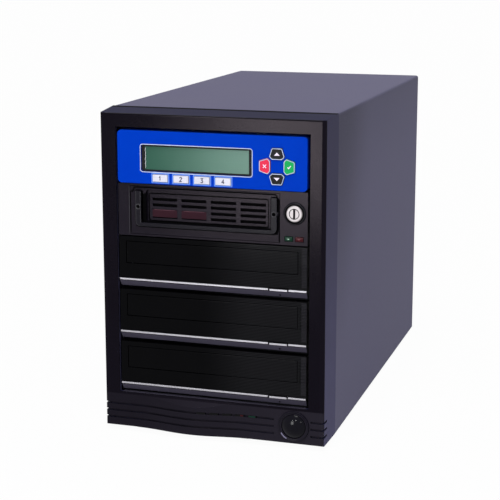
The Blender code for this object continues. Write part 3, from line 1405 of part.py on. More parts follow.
def fan_rotor(name, x, y, z):
    """A fan's hub and blades, turning on a line along Y; its span of Y is its depth."""
    sheet = bmesh.new()
    inner = FAN_HUB_RADIUS * BLADE_ROOT_SHARE
    outer = FAN_BORE_RADIUS - ROTOR_GAP
    size = (outer - inner, BLADE_THICKNESS, BLADE_CHORD)
    for blade in range(BLADE_COUNT):
        turn = Matrix.Rotation(blade * 2 * math.pi / BLADE_COUNT, 4, "Y")
        out = Matrix.Translation(((inner + outer) / 2, 0, 0))
        pitch = Matrix.Rotation(math.radians(BLADE_PITCH_DEGREES), 4, "X")
        bmesh.ops.create_cube(sheet, size=1, matrix=turn @ out @ pitch @ Matrix.Diagonal((*size, 1)))
    centre = (x, middle(y), z)
    blades = tool(name + "_blades", finished_mesh(name + "_blades", sheet), centre)
    mesh = rod_mesh(name, FAN_HUB_RADIUS, y[1] - y[0], "Y", FINE_SIDES)
    fuse(piece(name, mesh, centre, "fan_plastic"), blades)


def rear_fan():
    """The case fan behind the rear panel: square frame with struts, and its rotor."""
    z = CASE_BOTTOM + FAN_RISE
    back = REAR_INSIDE - FIT
    y = (back - FAN_DEPTH, back)
    frame = block("rear_fan_frame", about(FAN_X, FAN_SIDE), y, about(z, FAN_SIDE), "fan_plastic")
    cut(frame, rod_tool("fan_bore", FAN_BORE_RADIUS, "Y", FAN_X, grown(y, OVERRUN), z))
    strut_y = (back - FAN_STRUT_DEPTH - FIT, back - FIT)
    reach = 2 * FAN_BORE_RADIUS + FAN_STRUT_WIDTH / 2
    across = about(FAN_X, reach), strut_y, about(z, FAN_STRUT_WIDTH)
    upright = about(FAN_X, FAN_STRUT_WIDTH), strut_y, about(z, reach)
    fuse(frame, block_tool("fan_strut_across", across))
    fuse(frame, block_tool("fan_strut_upright", upright))
    hub_y = grown(strut_y, -FIT)
    fuse(frame, rod_tool("fan_hub_plate", FAN_HUB_RADIUS, "Y", FAN_X, hub_y, z))
    rotor_back = strut_y[0] - FIT
    fan_rotor("rear_fan_rotor", FAN_X, (rotor_back - ROTOR_DEPTH, rotor_back), z)


def supply_fan():
    """The power supply's fan rotor, turning on the hub plate of the guard."""
    _, y, z = supply_spans()
    back = y[1] - SHEET - FIT
    fan_rotor("psu_fan_rotor", SUPPLY_FAN_X, (back - ROTOR_DEPTH, back), middle(z))


def main():
    """Builds the whole tower from an empty scene."""
    for thing in list(bpy.data.objects):
        bpy.data.objects.remove(thing)
    front_bezel()
    lip_lens("disk_lens", WINDOW_COUNT - 2, "lamp_red")
    lip_lens("power_lens", WINDOW_COUNT - 1, "lamp_green")
    power_button()
    cover_shell()
    base_pan()
    feet()
    front_frame()
    bay_cages()
    rear_panel()
    control_panel()
    lcd_display()
    panel_board()
    for number in range(KEY_COUNT):
        function_key(number)
    pad_key("pad_key_up", 0, "key_black")
    pad_key("pad_key_left", 1, "key_red")
    pad_key("pad_key_down", 2, "key_black")
    pad_key("pad_key_right", 3, "key_green")
    rack_frame()
    rack_lamp("rack_lamp_green", LAMP_GREEN_X, "lamp_green")
    rack_lamp("rack_lamp_red", LAMP_RED_X, "lamp_red")
    lock_collar()
    key_cylinder()
    rack_carrier()
    rack_handle()
    hard_drive()
    for number in range(1, DRIVE_COUNT + 1):
        optical_drive(number)
    controller()
    power_supply()
    psu_inlet()
    psu_switch()
    supply_fan()
    rear_fan()


main()
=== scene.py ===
"""The looks of a five-bay disc duplicator tower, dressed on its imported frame.

X runs to the right, Y to the back and Z up, in metres. Each piece sits on the frame's own nodes.
What no node gives, such as the places of the marks on the face, is a named size.
"""

from __future__ import annotations

import json
import logging
import math
from dataclasses import dataclass
from enum import Enum
from typing import Any, Iterable, Sequence

import bmesh
import bpy
from mathutils import Matrix, Vector
from mathutils.bvhtree import BVHTree

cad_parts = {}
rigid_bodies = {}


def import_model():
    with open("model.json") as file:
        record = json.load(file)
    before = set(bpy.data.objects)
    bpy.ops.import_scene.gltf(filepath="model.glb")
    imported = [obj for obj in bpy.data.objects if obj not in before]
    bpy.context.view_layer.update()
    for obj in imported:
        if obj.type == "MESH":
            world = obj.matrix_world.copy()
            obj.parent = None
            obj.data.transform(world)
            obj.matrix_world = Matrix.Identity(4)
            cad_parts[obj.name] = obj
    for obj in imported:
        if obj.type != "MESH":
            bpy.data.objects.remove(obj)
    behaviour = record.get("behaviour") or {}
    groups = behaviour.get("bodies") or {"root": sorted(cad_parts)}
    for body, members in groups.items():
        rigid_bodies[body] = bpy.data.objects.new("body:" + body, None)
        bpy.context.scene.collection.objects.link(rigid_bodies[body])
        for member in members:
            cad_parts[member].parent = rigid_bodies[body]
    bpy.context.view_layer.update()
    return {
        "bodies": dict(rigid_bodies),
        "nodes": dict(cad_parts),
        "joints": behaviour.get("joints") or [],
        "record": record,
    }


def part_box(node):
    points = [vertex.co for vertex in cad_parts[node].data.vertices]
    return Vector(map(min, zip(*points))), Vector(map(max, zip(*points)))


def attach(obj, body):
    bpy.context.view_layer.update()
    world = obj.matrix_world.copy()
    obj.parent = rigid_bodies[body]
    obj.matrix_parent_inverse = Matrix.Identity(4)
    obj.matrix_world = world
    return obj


LOG = logging.getLogger("tower")

Colour = tuple[float, float, float]
Loop = list[tuple[float, float]]
Span = tuple[float, float]

WELD = 0.000002
SKIN = 0.00012
LIFT = 0.00003
SAME = 0.00001
FULL_TURN = 2 * math.pi
AHEAD = Vector((0.0, -1.0, 0.0))
BACK = Vector((0.0, 1.0, 0.0))
UP = Vector((0.0, 0.0, 1.0))
AFAR = -1.0
MITRE_LEAST = 0.5
TURN_LEAST = 0.05
SCREW_SIDES = 24
SCREW_PROFILE = ((1.0, 0.0), (1.0, 0.30), (0.90, 0.46), (0.72, 0.55))
CROSS_REACH = 0.55
CROSS_TOP = 0.58
CROSS_FLOOR = 0.22
CROSS_TAPER = 0.8
BEVEL_SEGMENTS = 2
BEVEL_DEGREES = 35
NORMAL_WEIGHT = 50
NO_EDGE = 0.0
LENS_EDGE = 0.0001
SHEET_EDGE = 0.0002
MOULD_EDGE = 0.0003
BEZEL_EDGE = 0.00035
SOFT_EDGE = 0.0004


def toned(colour: Colour, gain: float) -> Colour:
    """A colour made darker or lighter."""
    return colour[0] * gain, colour[1] * gain, colour[2] * gain


class Wire:
    """One output of a node, ready for arithmetic with other wires and with numbers."""

    def __init__(self, nodes: Nodes, socket: bpy.types.NodeSocket) -> None:
        """Keeps the tree that the socket belongs to, and the socket."""
        self.nodes = nodes
        self.socket = socket

    def __add__(self, other: Value) -> Wire:
        """This plus another value."""
        return self.nodes.maths("ADD", self, other)

    def __radd__(self, other: Value) -> Wire:
        """Another value plus this."""
        return self.nodes.maths("ADD", other, self)

    def __sub__(self, other: Value) -> Wire:
        """This less another value."""
        return self.nodes.maths("SUBTRACT", self, other)

    def __rsub__(self, other: Value) -> Wire:
        """Another value less this."""
        return self.nodes.maths("SUBTRACT", other, self)

    def __mul__(self, other: Value) -> Wire:
        """This times another value."""
        return self.nodes.maths("MULTIPLY", self, other)

    def __rmul__(self, other: Value) -> Wire:
        """Another value times this."""
        return self.nodes.maths("MULTIPLY", other, self)

    def __truediv__(self, other: Value) -> Wire:
        """This divided by another value."""
        return self.nodes.maths("DIVIDE", self, other)

    def __rtruediv__(self, other: Value) -> Wire:
        """Another value divided by this."""
        return self.nodes.maths("DIVIDE", other, self)

    def __gt__(self, other: Value) -> Wire:
        """One where this is the larger, and nought elsewhere."""
        return self.nodes.maths("GREATER_THAN", self, other)

    def __lt__(self, other: Value) -> Wire:
        """One where this is the smaller, and nought elsewhere."""
        return self.nodes.maths("LESS_THAN", self, other)


Value = Wire | float


class Nodes:
    """A node tree under construction."""

    def __init__(self, tree: bpy.types.NodeTree) -> None:
        """Keeps the tree, emptied of its nodes."""
        self.tree = tree
        self.tree.nodes.clear()

    def node(
        self,
        kind: str,
        settings: dict[str, Any] | None = None,
        inputs: dict[str | int, Any] | None = None,
    ) -> bpy.types.Node:
        """Adds a node.

        Args:
            kind: The node's type.
            settings: Its properties, set first.
            inputs: A value or a wire for each socket, by name or by number.

        Returns:
            The node.
        """
        made = self.tree.nodes.new(kind)
        for key, setting in (settings or {}).items():
            setattr(made, key, setting)
        for key, value in (inputs or {}).items():
            socket = made.inputs[key]
            if isinstance(value, Wire):
                self.tree.links.new(value.socket, socket)
            elif socket.type == "RGBA" and len(value) == 3:
                socket.default_value = (*value, 1.0)
            else:
                socket.default_value = value
        return made

    def wire(self, node: bpy.types.Node, output: str | int = 0) -> Wire:
        """One of a node's outputs as a wire."""
        return Wire(self, node.outputs[output])

    def maths(self, operation: str, *values: Value) -> Wire:
        """A Math node on one, two or three values."""
        return self.wire(self.node("ShaderNodeMath", {"operation": operation}, dict(enumerate(values))))


class Shader(Nodes):
    """The node tree of one material."""

    def __init__(self, name: str) -> None:
        """Makes the material and takes hold of its tree.

        Args:
            name: The material's name.
        """
        self.material = bpy.data.materials.new(name)
        self.material.use_nodes = True
        super().__init__(self.material.node_tree)

    def place(self) -> Wire:
        """The point on the tower, in metres, which moves with the piece."""
        return self.wire(self.node("ShaderNodeTexCoord"), "Object")

    def axes(self, place: Wire) -> tuple[Wire, Wire, Wire]:
        """A point's three coordinates."""
        split = self.node("ShaderNodeSeparateXYZ", None, {"Vector": place})
        return self.wire(split, 0), self.wire(split, 1), self.wire(split, 2)

    def scaled(self, place: Wire, scale: tuple[float, float, float]) -> Wire:
        """A point with its coordinates multiplied."""
        settings = {"operation": "MULTIPLY"}
        return self.wire(self.node("ShaderNodeVectorMath", settings, {0: place, 1: scale}))

    def noise(self, place: Wire, size: float, detail: float = 2.0, roughness: float = 0.5) -> Wire:
        """Smooth noise from nought to one.

        Args:
            place: Where the noise is read.
            size: The size of its blotches, in the units of the place.
            detail: How many finer layers it has.
            roughness: How strong the finer layers are.

        Returns:
            The noise's value.
        """
        inputs = {"Vector": place, "Scale": 1 / size, "Detail": detail, "Roughness": roughness}
        return self.wire(self.node("ShaderNodeTexNoise", None, inputs), "Fac")

    def cells(self, place: Wire, size: float, output: str = "Distance") -> Wire:
        """A cell pattern's distance or colour."""
        inputs = {"Vector": place, "Scale": 1 / size}
        return self.wire(self.node("ShaderNodeTexVoronoi", None, inputs), output)

    def between(self, value: Wire, low: float, high: float) -> Wire:
        """A value's share of the way from low to high, held between nought and one.

        Args:
            value: The value.
            low: Where the share is nought.
            high: Where it is one.

        Returns:
            The share, eased at both ends.
        """
        inputs = {0: value, 1: low, 2: high}
        settings = {"interpolation_type": "SMOOTHSTEP"}
        return self.wire(self.node("ShaderNodeMapRange", settings, inputs))

    def mix(self, share: Value, first: Wire | Colour, second: Wire | Colour, blend: str = "MIX") -> Wire:
        """Two colours mixed.

        Args:
            share: How much of the second colour.
            first: The colour at nought.
            second: The colour at one.
            blend: The way the two are combined.

        Returns:
            The mixed colour.
        """
        settings = {"data_type": "RGBA", "blend_type": blend}
        return self.wire(self.node("ShaderNodeMix", settings, {0: share, 6: first, 7: second}), 2)

    def edges(self, width: float, sharpness: float = 0.25) -> Wire:
        """One along worn outer edges, and nought on the flat.

        Args:
            width: How far from an edge the wear reaches.
            sharpness: How far the surface has to turn for the full value.

        Returns:
            The mask.
        """
        rounded = self.node("ShaderNodeBevel", {"samples": 6}, {"Radius": width})
        true = self.wire(self.node("ShaderNodeNewGeometry"), "Normal")
        inputs = {0: self.wire(rounded), 1: true}
        dot = self.wire(self.node("ShaderNodeVectorMath", {"operation": "DOT_PRODUCT"}, inputs), "Value")
        return self.between(1 - dot, 0.01, sharpness)

    def facing(self) -> tuple[Wire, Wire, Wire]:
        """The parts of the surface's direction."""
        return self.axes(self.wire(self.node("ShaderNodeNewGeometry"), "Normal"))

    def bump(self, height: Wire, depth: float, strength: float = 1.0) -> Wire:
        """A normal raised by a height of nought to one over a depth in metres."""
        inputs = {"Height": height, "Distance": depth, "Strength": strength}
        return self.wire(self.node("ShaderNodeBump", None, inputs))

    def finish(self, **sockets: Any) -> None:
        """Ends the tree in one Principled shader.

        Args:
            **sockets: A wire or a constant for each socket, with underscores for spaces.
        """
        inputs = {key.replace("_", " "): value for key, value in sockets.items()}
        inputs = {key.replace("Ior", "IOR"): value for key, value in inputs.items()}
        shader = self.node("ShaderNodeBsdfPrincipled", None, inputs)
        self.node("ShaderNodeOutputMaterial", None, {"Surface": self.wire(shader)})


@dataclass(frozen=True)
class Finish:
    """A surface finish: the name of its material and the record's slot that it stands for."""

    title: str
    slot: str

    def material(self) -> bpy.types.Material:
        """The finish's material, made when it is first asked for.

        Returns:
            The material.
        """
        found = bpy.data.materials.get(self.title)
        if found is None:
            shader = Shader(self.title)
            self.paint(shader)
            found = shader.material
        return found

    def paint(self, shader: Shader) -> None:
        """Builds the finish's nodes."""
        raise NotImplementedError


@dataclass(frozen=True)
class Moulding(Finish):
    """Moulded plastic with a spark-eroded grain, light handling haze and rubbed edges."""

    colour: Colour
    roughness: float = 0.45
    specular: float = 0.5
    grain: float = 0.0004
    depth: float = 0.00003
    haze: float = 0.10
    rub: float = 0.25
    worn: Colour = (0.10, 0.10, 0.11)
    edge: float = 0.0005
    sheen: Colour = (1.0, 1.0, 1.0)
    pit_scale: float = 1.7
    pit_share: float = 0.35
    haze_size: float = 0.035
    tone_shift: float = 0.36
    relief_shift: float = 0.30
    relief_dulling: float = 0.12
    wear_grain: float = 0.4
    wear_span: Span = (0.35, 0.95)

    def tone(self, shader: Shader, place: Wire) -> Wire | Colour:
        """The plastic's colour, which the bezel's moulding changes from place to place with painted light.
        """
        return self.colour

    def dullness(self, shader: Shader, place: Wire) -> Wire | float:
        """What is added to the roughness."""
        return 0.0

    def paint(self, shader: Shader) -> None:
        """Builds the grain, the haze and the rubbed edges.

        Args:
            shader: The shader to build.
        """
        place = shader.place()
        grain = shader.noise(place, self.grain, 3.0, 0.6)
        pits = shader.cells(place, self.grain * self.pit_scale)
        broad = shader.noise(place, self.haze_size, 4.0, 0.55)
        relief = grain * (1 - self.pit_share) + pits * self.pit_share
        level = broad * self.tone_shift + (1 - self.tone_shift / 2)
        level = level * (relief * self.relief_shift + 1.0)
        shade = shader.mix(1.0, self.tone(shader, place), level, "MULTIPLY")
        handled = shader.between(broad + grain * self.wear_grain, *self.wear_span)
        wear = shader.edges(self.edge) * self.rub * handled
        rough = (broad - 0.5) * self.haze + (relief - 0.5) * self.relief_dulling + self.roughness
        shader.finish(
            Base_Color=shader.mix(wear, shade, self.worn),
            Roughness=rough + self.dullness(shader, place),
            Normal=shader.bump(relief, self.depth),
            Specular_Ior_Level=self.specular,
            Specular_Tint=self.sheen,
        )


@dataclass(frozen=True)
class BezelMoulding(Moulding):
    """The bezel's plastic: black in front, with painted light elsewhere: a slate tone on the sides and the
    brow, and a paler tone down the bowed lip.
    """

    # Painted light: the tones of the sides, the brow and the lip stand for the light and sheen that fall on
    # them.
    side: Colour = (0.050, 0.048, 0.092)
    brow: Colour = (0.014, 0.014, 0.034)
    lip: Colour = (0.0095, 0.0084, 0.0130)
    front: float = -0.1714
    lip_top: float = 0.0310
    top: float = 0.2522
    half_width: float = 0.0880
    side_gain: float = 0.48
    top_gain: float = 0.50
    rim: float = 0.0036
    rim_gain: float = 0.50
    flat: Span = (0.93, 0.97)
    upright: Span = (0.2, 0.8)
    painted_side_base: float = 0.72
    painted_side_fall: float = 0.55
    lip_sheen_right: float = 0.6
    lip_blur: float = 0.00096

    def behind(self, shader: Shader, place: Wire) -> Wire:
        """One behind the bezel's front, and zero on it."""
        return shader.between(shader.axes(place)[1], self.front - WELD, self.front + SKIN)

    def tone(self, shader: Shader, place: Wire) -> Wire:
        """Mixes painted light into the front's black: a slate tone on the sides and the brow, and a paler
        tone down the lip that paints its sheen.

        Args:
            shader: The shader to build.
            place: The point on the tower.

        Returns:
            The colour.
        """
        across, _, up = shader.axes(place)
        sideways = shader.between(shader.maths("ABSOLUTE", shader.facing()[0]), *self.flat)
        upward = shader.between(shader.facing()[2], *self.flat)
        low = 1 - shader.between(up, 0.0, self.top)
        # painted light on the sides, lighter towards the bottom
        slate = shader.mix(1.0, self.side, low * self.painted_side_fall + self.painted_side_base, "MULTIPLY")
        right = shader.between(across, -self.half_width, self.half_width)
        # painted sheen down the lip, stronger towards the right
        below = 1 - shader.between(up, self.lip_top - self.lip_blur, self.lip_top)
        pale = below * (right * self.lip_sheen_right + (1 - self.lip_sheen_right))
        front = shader.mix(pale, self.colour, self.lip)
        # painted light on the sides and the brow behind the front
        painted_wall_light = shader.mix(upward, slate, self.brow)
        turned = shader.maths("MAXIMUM", sideways, upward) * self.behind(shader, place)
        return shader.mix(turned, front, painted_wall_light)

    def dullness(self, shader: Shader, place: Wire) -> Wire:
        """Duller behind the front and along its rim, and dullest on top.

        Args:
            shader: The shader to build.
            place: The point on the tower.

        Returns:
            The addition.
        """
        upward = shader.between(shader.facing()[2], *self.upright)
        wall = self.behind(shader, place) * (upward * (self.top_gain - self.side_gain) + self.side_gain)
        across = shader.maths("ABSOLUTE", shader.axes(place)[0])
        rim = shader.between(across, self.half_width - self.rim, self.half_width - self.rim + SKIN)
        return shader.maths("MAXIMUM", wall, rim * self.rim_gain)


@dataclass(frozen=True)
class PowderPaint(Finish):
    """Powder paint on steel, with its orange-peel surface and thin edges."""

    colour: Colour
    roughness: float = 0.42
    specular: float = 0.5
    peel: float = 0.0011
    depth: float = 0.00002
    # Where the painted shade on the sides falls, and how strong it is.
    front: float = -0.142
    reach: float = 0.12
    loss: float = 0.50
    upright: Span = (0.5, 0.8)
    rise: float = 4.8
    near_share: float = 0.6
    fade: Span = (0.8, 1.8)
    cloud_size: float = 0.06
    cloud_shift: float = 0.07
    fleck_size: float = 0.00045
    fleck_span: Span = (0.55, 0.9)
    fleck_share: float = 0.25
    fleck_gain: float = 1.5
    drawn: tuple[float, float, float] = (900.0, 14.0, 900.0)
    scuff_span: Span = (0.70, 0.80)
    scuff_patch: Span = (0.45, 0.7)
    scuff_share: float = 0.12
    scuffed: Colour = (0.34, 0.34, 0.37)
    edge: float = 0.0006
    edge_share: float = 0.35
    rubbed: Colour = (0.30, 0.30, 0.32)

    def level(self, shader: Shader, place: Wire) -> Wire:
        """Painted shade: the sides are a little darker towards their front and top.

        Args:
            shader: The shader to build.
            place: The point on the tower.

        Returns:
            The level, at most one.
        """
        _, back, up = shader.axes(place)
        near = 1 - shader.between(back, self.front, self.front + self.reach)
        sideways = shader.between(shader.maths("ABSOLUTE", shader.facing()[0]), *self.upright)
        shaded = shader.between(up * self.rise + near * self.near_share, *self.fade)
        return 1 - shaded * sideways * self.loss

    def paint(self, shader: Shader) -> None:
        """Builds the orange peel, the fleck and a few light scuffs.

        Args:
            shader: The shader to build.
        """
        place = shader.place()
        peel = shader.noise(place, self.peel, 2.0, 0.5)
        fleck = shader.cells(place, self.fleck_size)
        broad = shader.noise(place, self.cloud_size, 3.0, 0.5)
        drawn = shader.noise(shader.scaled(place, self.drawn), 1.0, 3.0, 0.65)
        scuff = shader.between(drawn, *self.scuff_span) * shader.between(broad, *self.scuff_patch)
        dark, light = toned(self.colour, 1 - self.cloud_shift), toned(self.colour, 1 + self.cloud_shift)
        # the sides' painted shade multiplies the colour
        shade = shader.mix(1.0, shader.mix(broad, dark, light), self.level(shader, place), "MULTIPLY")
        speck = shader.between(fleck, *self.fleck_span) * self.fleck_share
        flecked = shader.mix(speck, shade, toned(self.colour, self.fleck_gain))
        rubbed = shader.mix(shader.edges(self.edge) * self.edge_share, flecked, self.rubbed)
        shader.finish(
            Base_Color=shader.mix(scuff * self.scuff_share, rubbed, self.scuffed),
            Roughness=(broad - 0.5) * 0.10 + (peel - 0.5) * 0.10 + self.roughness - scuff * 0.06,
            Normal=shader.bump(peel * 0.75 + fleck * 0.25, self.depth),
            Specular_Ior_Level=self.specular,
        )


@dataclass(frozen=True)
class SheetSteel(Finish):
    """Zinc-plated sheet steel, with its spangle and rolling lines."""

    colour: Colour = (0.56, 0.56, 0.55)
    roughness: float = 0.36
    spangle: float = 0.007
    rolling: tuple[float, float, float] = (1600.0, 25.0, 1600.0)
    warp: float = 0.01
    warp_share: float = 0.2
    dark_gain: float = 0.72
    stain_size: float = 0.03
    stain_share: float = 0.35
    stained: Colour = (0.30, 0.29, 0.27)
    depth: float = 0.000006

    def paint(self, shader: Shader) -> None:
        """Builds the spangle, the rolling lines and the dull spots.

        Args:
            shader: The shader to build.
        """
        place = shader.place()
        warped = shader.noise(place, self.warp, 2.0)
        spangle = shader.cells(place, self.spangle, output="Color")
        level = shader.maths("ABSOLUTE", shader.axes(spangle)[0])
        rolled = shader.noise(shader.scaled(place, self.rolling), 1.0, 4.0, 0.6)
        stain = shader.noise(place, self.stain_size, 4.0, 0.6)
        facet = level * (1 - self.warp_share) + warped * self.warp_share
        shade = shader.mix(facet, toned(self.colour, self.dark_gain), self.colour)
        shader.finish(
            Base_Color=shader.mix(shader.between(stain, 0.58, 0.8) * self.stain_share, shade, self.stained),
            Metallic=0.92 - shader.between(stain, 0.6, 0.85) * 0.3,
            Roughness=level * 0.12 + rolled * 0.18 + self.roughness - 0.12,
            Normal=shader.bump(rolled, self.depth),
        )


@dataclass(frozen=True)
class OverlayFilm(Finish):
    """A polycarbonate overlay printed from behind, with a fine velvet face."""

    colour: Colour
    roughness: float = 0.34
    specular: float = 0.5
    velvet: float = 0.00018
    ink_size: float = 0.012
    press_size: float = 0.05
    press_share: float = 0.4
    low_gains: Colour = (0.8, 0.86, 0.93)
    high_gains: Colour = (1.25, 1.14, 1.05)
    depth: float = 0.000006

    def paint(self, shader: Shader) -> None:
        """Builds the velvet texture and the ink's slight unevenness.

        Args:
            shader: The shader to build.
        """
        place = shader.place()
        velvet = shader.noise(place, self.velvet, 2.0, 0.6)
        ink = shader.noise(place, self.ink_size, 3.0, 0.5)
        press = shader.noise(place, self.press_size, 2.0, 0.5)
        low = tuple(level * gain for level, gain in zip(self.colour, self.low_gains))
        high = tuple(level * gain for level, gain in zip(self.colour, self.high_gains))
        shader.finish(
            Base_Color=shader.mix(ink * (1 - self.press_share) + press * self.press_share, low, high),
            Roughness=(press - 0.5) * 0.12 + velvet * 0.06 + self.roughness,
            Normal=shader.bump(velvet, self.depth),
            Specular_Ior_Level=self.specular,
        )


@dataclass(frozen=True)
class Display(Finish):
    """A green-grey liquid crystal glass with two faint rows of character cells."""

    low: tuple[float, float]
    high: tuple[float, float]
    shaded: Colour = (0.0218, 0.0765, 0.0525)
    lit: Colour = (0.092, 0.182, 0.144)
    columns: int = 20
    rows: int = 2
    cell_share: float = 0.86
    margin_share: float = 0.045
    dots: tuple[int, int] = (5, 8)
    dot_share: float = 0.9
    mark_share: float = 0.03
    mark: Colour = (0.03, 0.07, 0.05)
    cloud_size: float = 0.02
    cloud_share: float = 0.1
    roughness: float = 0.20
    specular: float = 0.06
    depth: float = 0.00002

    def paint(self, shader: Shader) -> None:
        """Builds the backlight's fall from right to left and the cells' faint dots.

        Args:
            shader: The shader to build.
        """
        place = shader.place()
        across, _, up = shader.axes(place)
        width, height = self.high[0] - self.low[0], self.high[1] - self.low[1]
        across = (across - self.low[0]) / width
        up = (up - self.low[1]) / height
        broad = shader.noise(place, self.cloud_size, 2.0)
        lit = across * (1 - self.cloud_share) + broad * self.cloud_share
        side, above = self.margin_share, self.margin_share * 2
        column = shader.maths("FRACT", (across - side) / (1 - 2 * side) * self.columns)
        row = shader.maths("FRACT", (up - above) / (1 - 2 * above) * self.rows)
        mark = (column < self.cell_share) * (row < self.cell_share)
        mark = mark * (across > side) * (across < 1 - side) * (up > above) * (up < 1 - above)
        for cell, count in zip((column, row), self.dots):
            mark = mark * (shader.maths("FRACT", cell / self.cell_share * count) < self.dot_share)
        glass = shader.mix(shader.between(lit, 0.0, 1.0), self.shaded, self.lit)
        shader.finish(
            Base_Color=shader.mix(mark * self.mark_share, glass, self.mark),
            Roughness=broad * 0.04 + self.roughness,
            Normal=shader.bump(broad, self.depth),
            Specular_Ior_Level=self.specular,
        )


@dataclass(frozen=True)
class Gloss(Finish):
    """High-gloss black plastic, with fine lines across a stretch of the face and light hairlines."""

    colour: Colour = (0.006, 0.006, 0.007)
    roughness: float = 0.08
    specular: float = 0.25
    line_pitch: float = 0.0
    lines_from: float = -0.010
    lines_full: float = 0.035
    line_share: float = 0.3
    smear_size: float = 0.025
    hair: tuple[float, float, float] = (40.0, 40.0, 2500.0)
    hair_share: float = 0.02
    dust_size: float = 0.0006
    dust_span: Span = (0.72, 0.80)
    dust_share: float = 0.15
    dusty: Colour = (0.03, 0.03, 0.034)
    dark_gain: float = 0.8
    depth: float = 0.00006

    def paint(self, shader: Shader) -> None:
        """Builds the lines, the smears and the hairlines.

        Args:
            shader: The shader to build.
        """
        place = shader.place()
        across, _, up = shader.axes(place)
        smear = shader.noise(place, self.smear_size, 4.0, 0.6)
        hair = shader.noise(shader.scaled(place, self.hair), 1.0, 2.0, 0.6)
        dust = shader.between(shader.noise(place, self.dust_size, 2.0, 0.7), *self.dust_span)
        height, tint = hair * self.hair_share, dust * self.dust_share
        if self.line_pitch:
            reach = shader.between(across, self.lines_from, self.lines_full)
            wave = shader.maths("SINE", up * (FULL_TURN / self.line_pitch)) * 0.5 + 0.5
            lines = wave * reach * self.line_share
            height, tint = height + lines, tint + lines
        plain = shader.mix(smear, toned(self.colour, self.dark_gain), self.colour)
        shader.finish(
            Base_Color=shader.mix(tint, plain, self.dusty),
            Roughness=smear * 0.10 + dust * 0.2 + self.roughness - 0.03,
            Normal=shader.bump(height, self.depth, 0.8),
            Specular_Ior_Level=self.specular,
        )


@dataclass(frozen=True)
class Bright(Finish):
    """Plated or polished metal, with turning or brushing marks."""

    colour: Colour = (0.82, 0.82, 0.83)
    roughness: float = 0.16
    grain: tuple[float, float, float] = (60.0, 60.0, 3000.0)
    depth: float = 0.000004
    metallic: float = 1.0
    tarnish_size: float = 0.006
    dull_gain: float = 0.80

    def paint(self, shader: Shader) -> None:
        """Builds the brushing marks and the slight tarnish.

        Args:
            shader: The shader to build.
        """
        place = shader.place()
        brushed = shader.noise(shader.scaled(place, self.grain), 1.0, 3.0, 0.6)
        tarnish = shader.noise(place, self.tarnish_size, 3.0, 0.6)
        shader.finish(
            Base_Color=shader.mix(tarnish, toned(self.colour, self.dull_gain), self.colour),
            Metallic=self.metallic,
            Roughness=brushed * 0.14 + tarnish * 0.06 + self.roughness - 0.08,
            Normal=shader.bump(brushed, self.depth),
        )


@dataclass(frozen=True)
class Lens(Finish):
    """A coloured clear lens over a small lamp, paler at the rim and ribbed inside."""

    colour: Colour
    glow: Colour
    specular: float = 0.5
    rib: float = 0.0007
    rib_share: float = 0.25
    cloud_size: float = 0.0012
    cloud_share: float = 0.6
    edge: float = 0.0006
    edge_share: float = 0.35
    deep_gain: float = 0.35
    depth: float = 0.00003

    def paint(self, shader: Shader) -> None:
        """Builds the ribs, the depth of colour and the pale rim.

        Args:
            shader: The shader to build.
        """
        place = shader.place()
        across = shader.axes(place)[0]
        ribs = shader.maths("SINE", across * (FULL_TURN / self.rib)) * 0.5 + 0.5
        cloud = shader.noise(place, self.cloud_size, 2.0)
        filled = cloud * self.cloud_share + ribs * self.rib_share
        body = shader.mix(filled, toned(self.colour, self.deep_gain), self.colour)
        shader.finish(
            Base_Color=shader.mix(shader.edges(self.edge) * self.edge_share, body, self.glow),
            Roughness=cloud * 0.08 + 0.07,
            Normal=shader.bump(ribs * 0.5 + cloud * 0.5, self.depth),
            Specular_Ior_Level=self.specular,
        )


@dataclass(frozen=True)
class CircuitBoard(Finish):
    """Green solder mask over copper tracks, with tinned pads."""

    colour: Colour = (0.012, 0.10, 0.045)
    track: Colour = (0.03, 0.19, 0.075)
    tinned: Colour = (0.60, 0.58, 0.52)
    lane_pitch: float = 0.0013
    lane_share: float = 0.35
    row_pitch: float = 0.0021
    row_share: float = 0.3
    block_size: float = 0.011
    pad_pitch: float = 0.0026
    pad_share: float = 0.16
    depth: float = 0.00003

    def paint(self, shader: Shader) -> None:
        """Builds the tracks and the pads.

        Args:
            shader: The shader to build.
        """
        place = shader.place()
        across, along, _ = shader.axes(place)
        lanes = shader.maths("FRACT", across / self.lane_pitch) < self.lane_share
        rows = shader.maths("FRACT", along / self.row_pitch) < self.row_share
        block = shader.cells(place, self.block_size, output="Color")
        turn = shader.axes(block)[0] > 0.5
        tracks = lanes * turn + rows * (1 - turn)
        pads = shader.cells(place, self.pad_pitch) < self.pad_share
        board = shader.mix(tracks, self.colour, self.track)
        shader.finish(
            Base_Color=shader.mix(pads, board, self.tinned),
            Metallic=pads * 0.8,
            Roughness=0.42 - pads * 0.12,
            Normal=shader.bump(tracks * 0.6 + pads * 0.4, self.depth),
        )


@dataclass(frozen=True)
class Rubber(Finish):
    """Moulded rubber with a dusty bloom."""

    colour: Colour = (0.022, 0.022, 0.023)
    bloomed: Colour = (0.075, 0.073, 0.070)
    bloom_size: float = 0.006
    bloom_share: float = 0.4
    pore_size: float = 0.0005
    roughness: float = 0.78
    depth: float = 0.00008

    def paint(self, shader: Shader) -> None:
        """Builds the bloom and the fine pores.

        Args:
            shader: The shader to build.
        """
        place = shader.place()
        pores = shader.noise(place, self.pore_size, 3.0, 0.7)
        bloom = shader.between(shader.noise(place, self.bloom_size, 3.0), 0.4, 0.75)
        shader.finish(
            Base_Color=shader.mix(bloom * self.bloom_share, self.colour, self.bloomed),
            Roughness=bloom * 0.12 + self.roughness,
            Normal=shader.bump(pores, self.depth),
        )


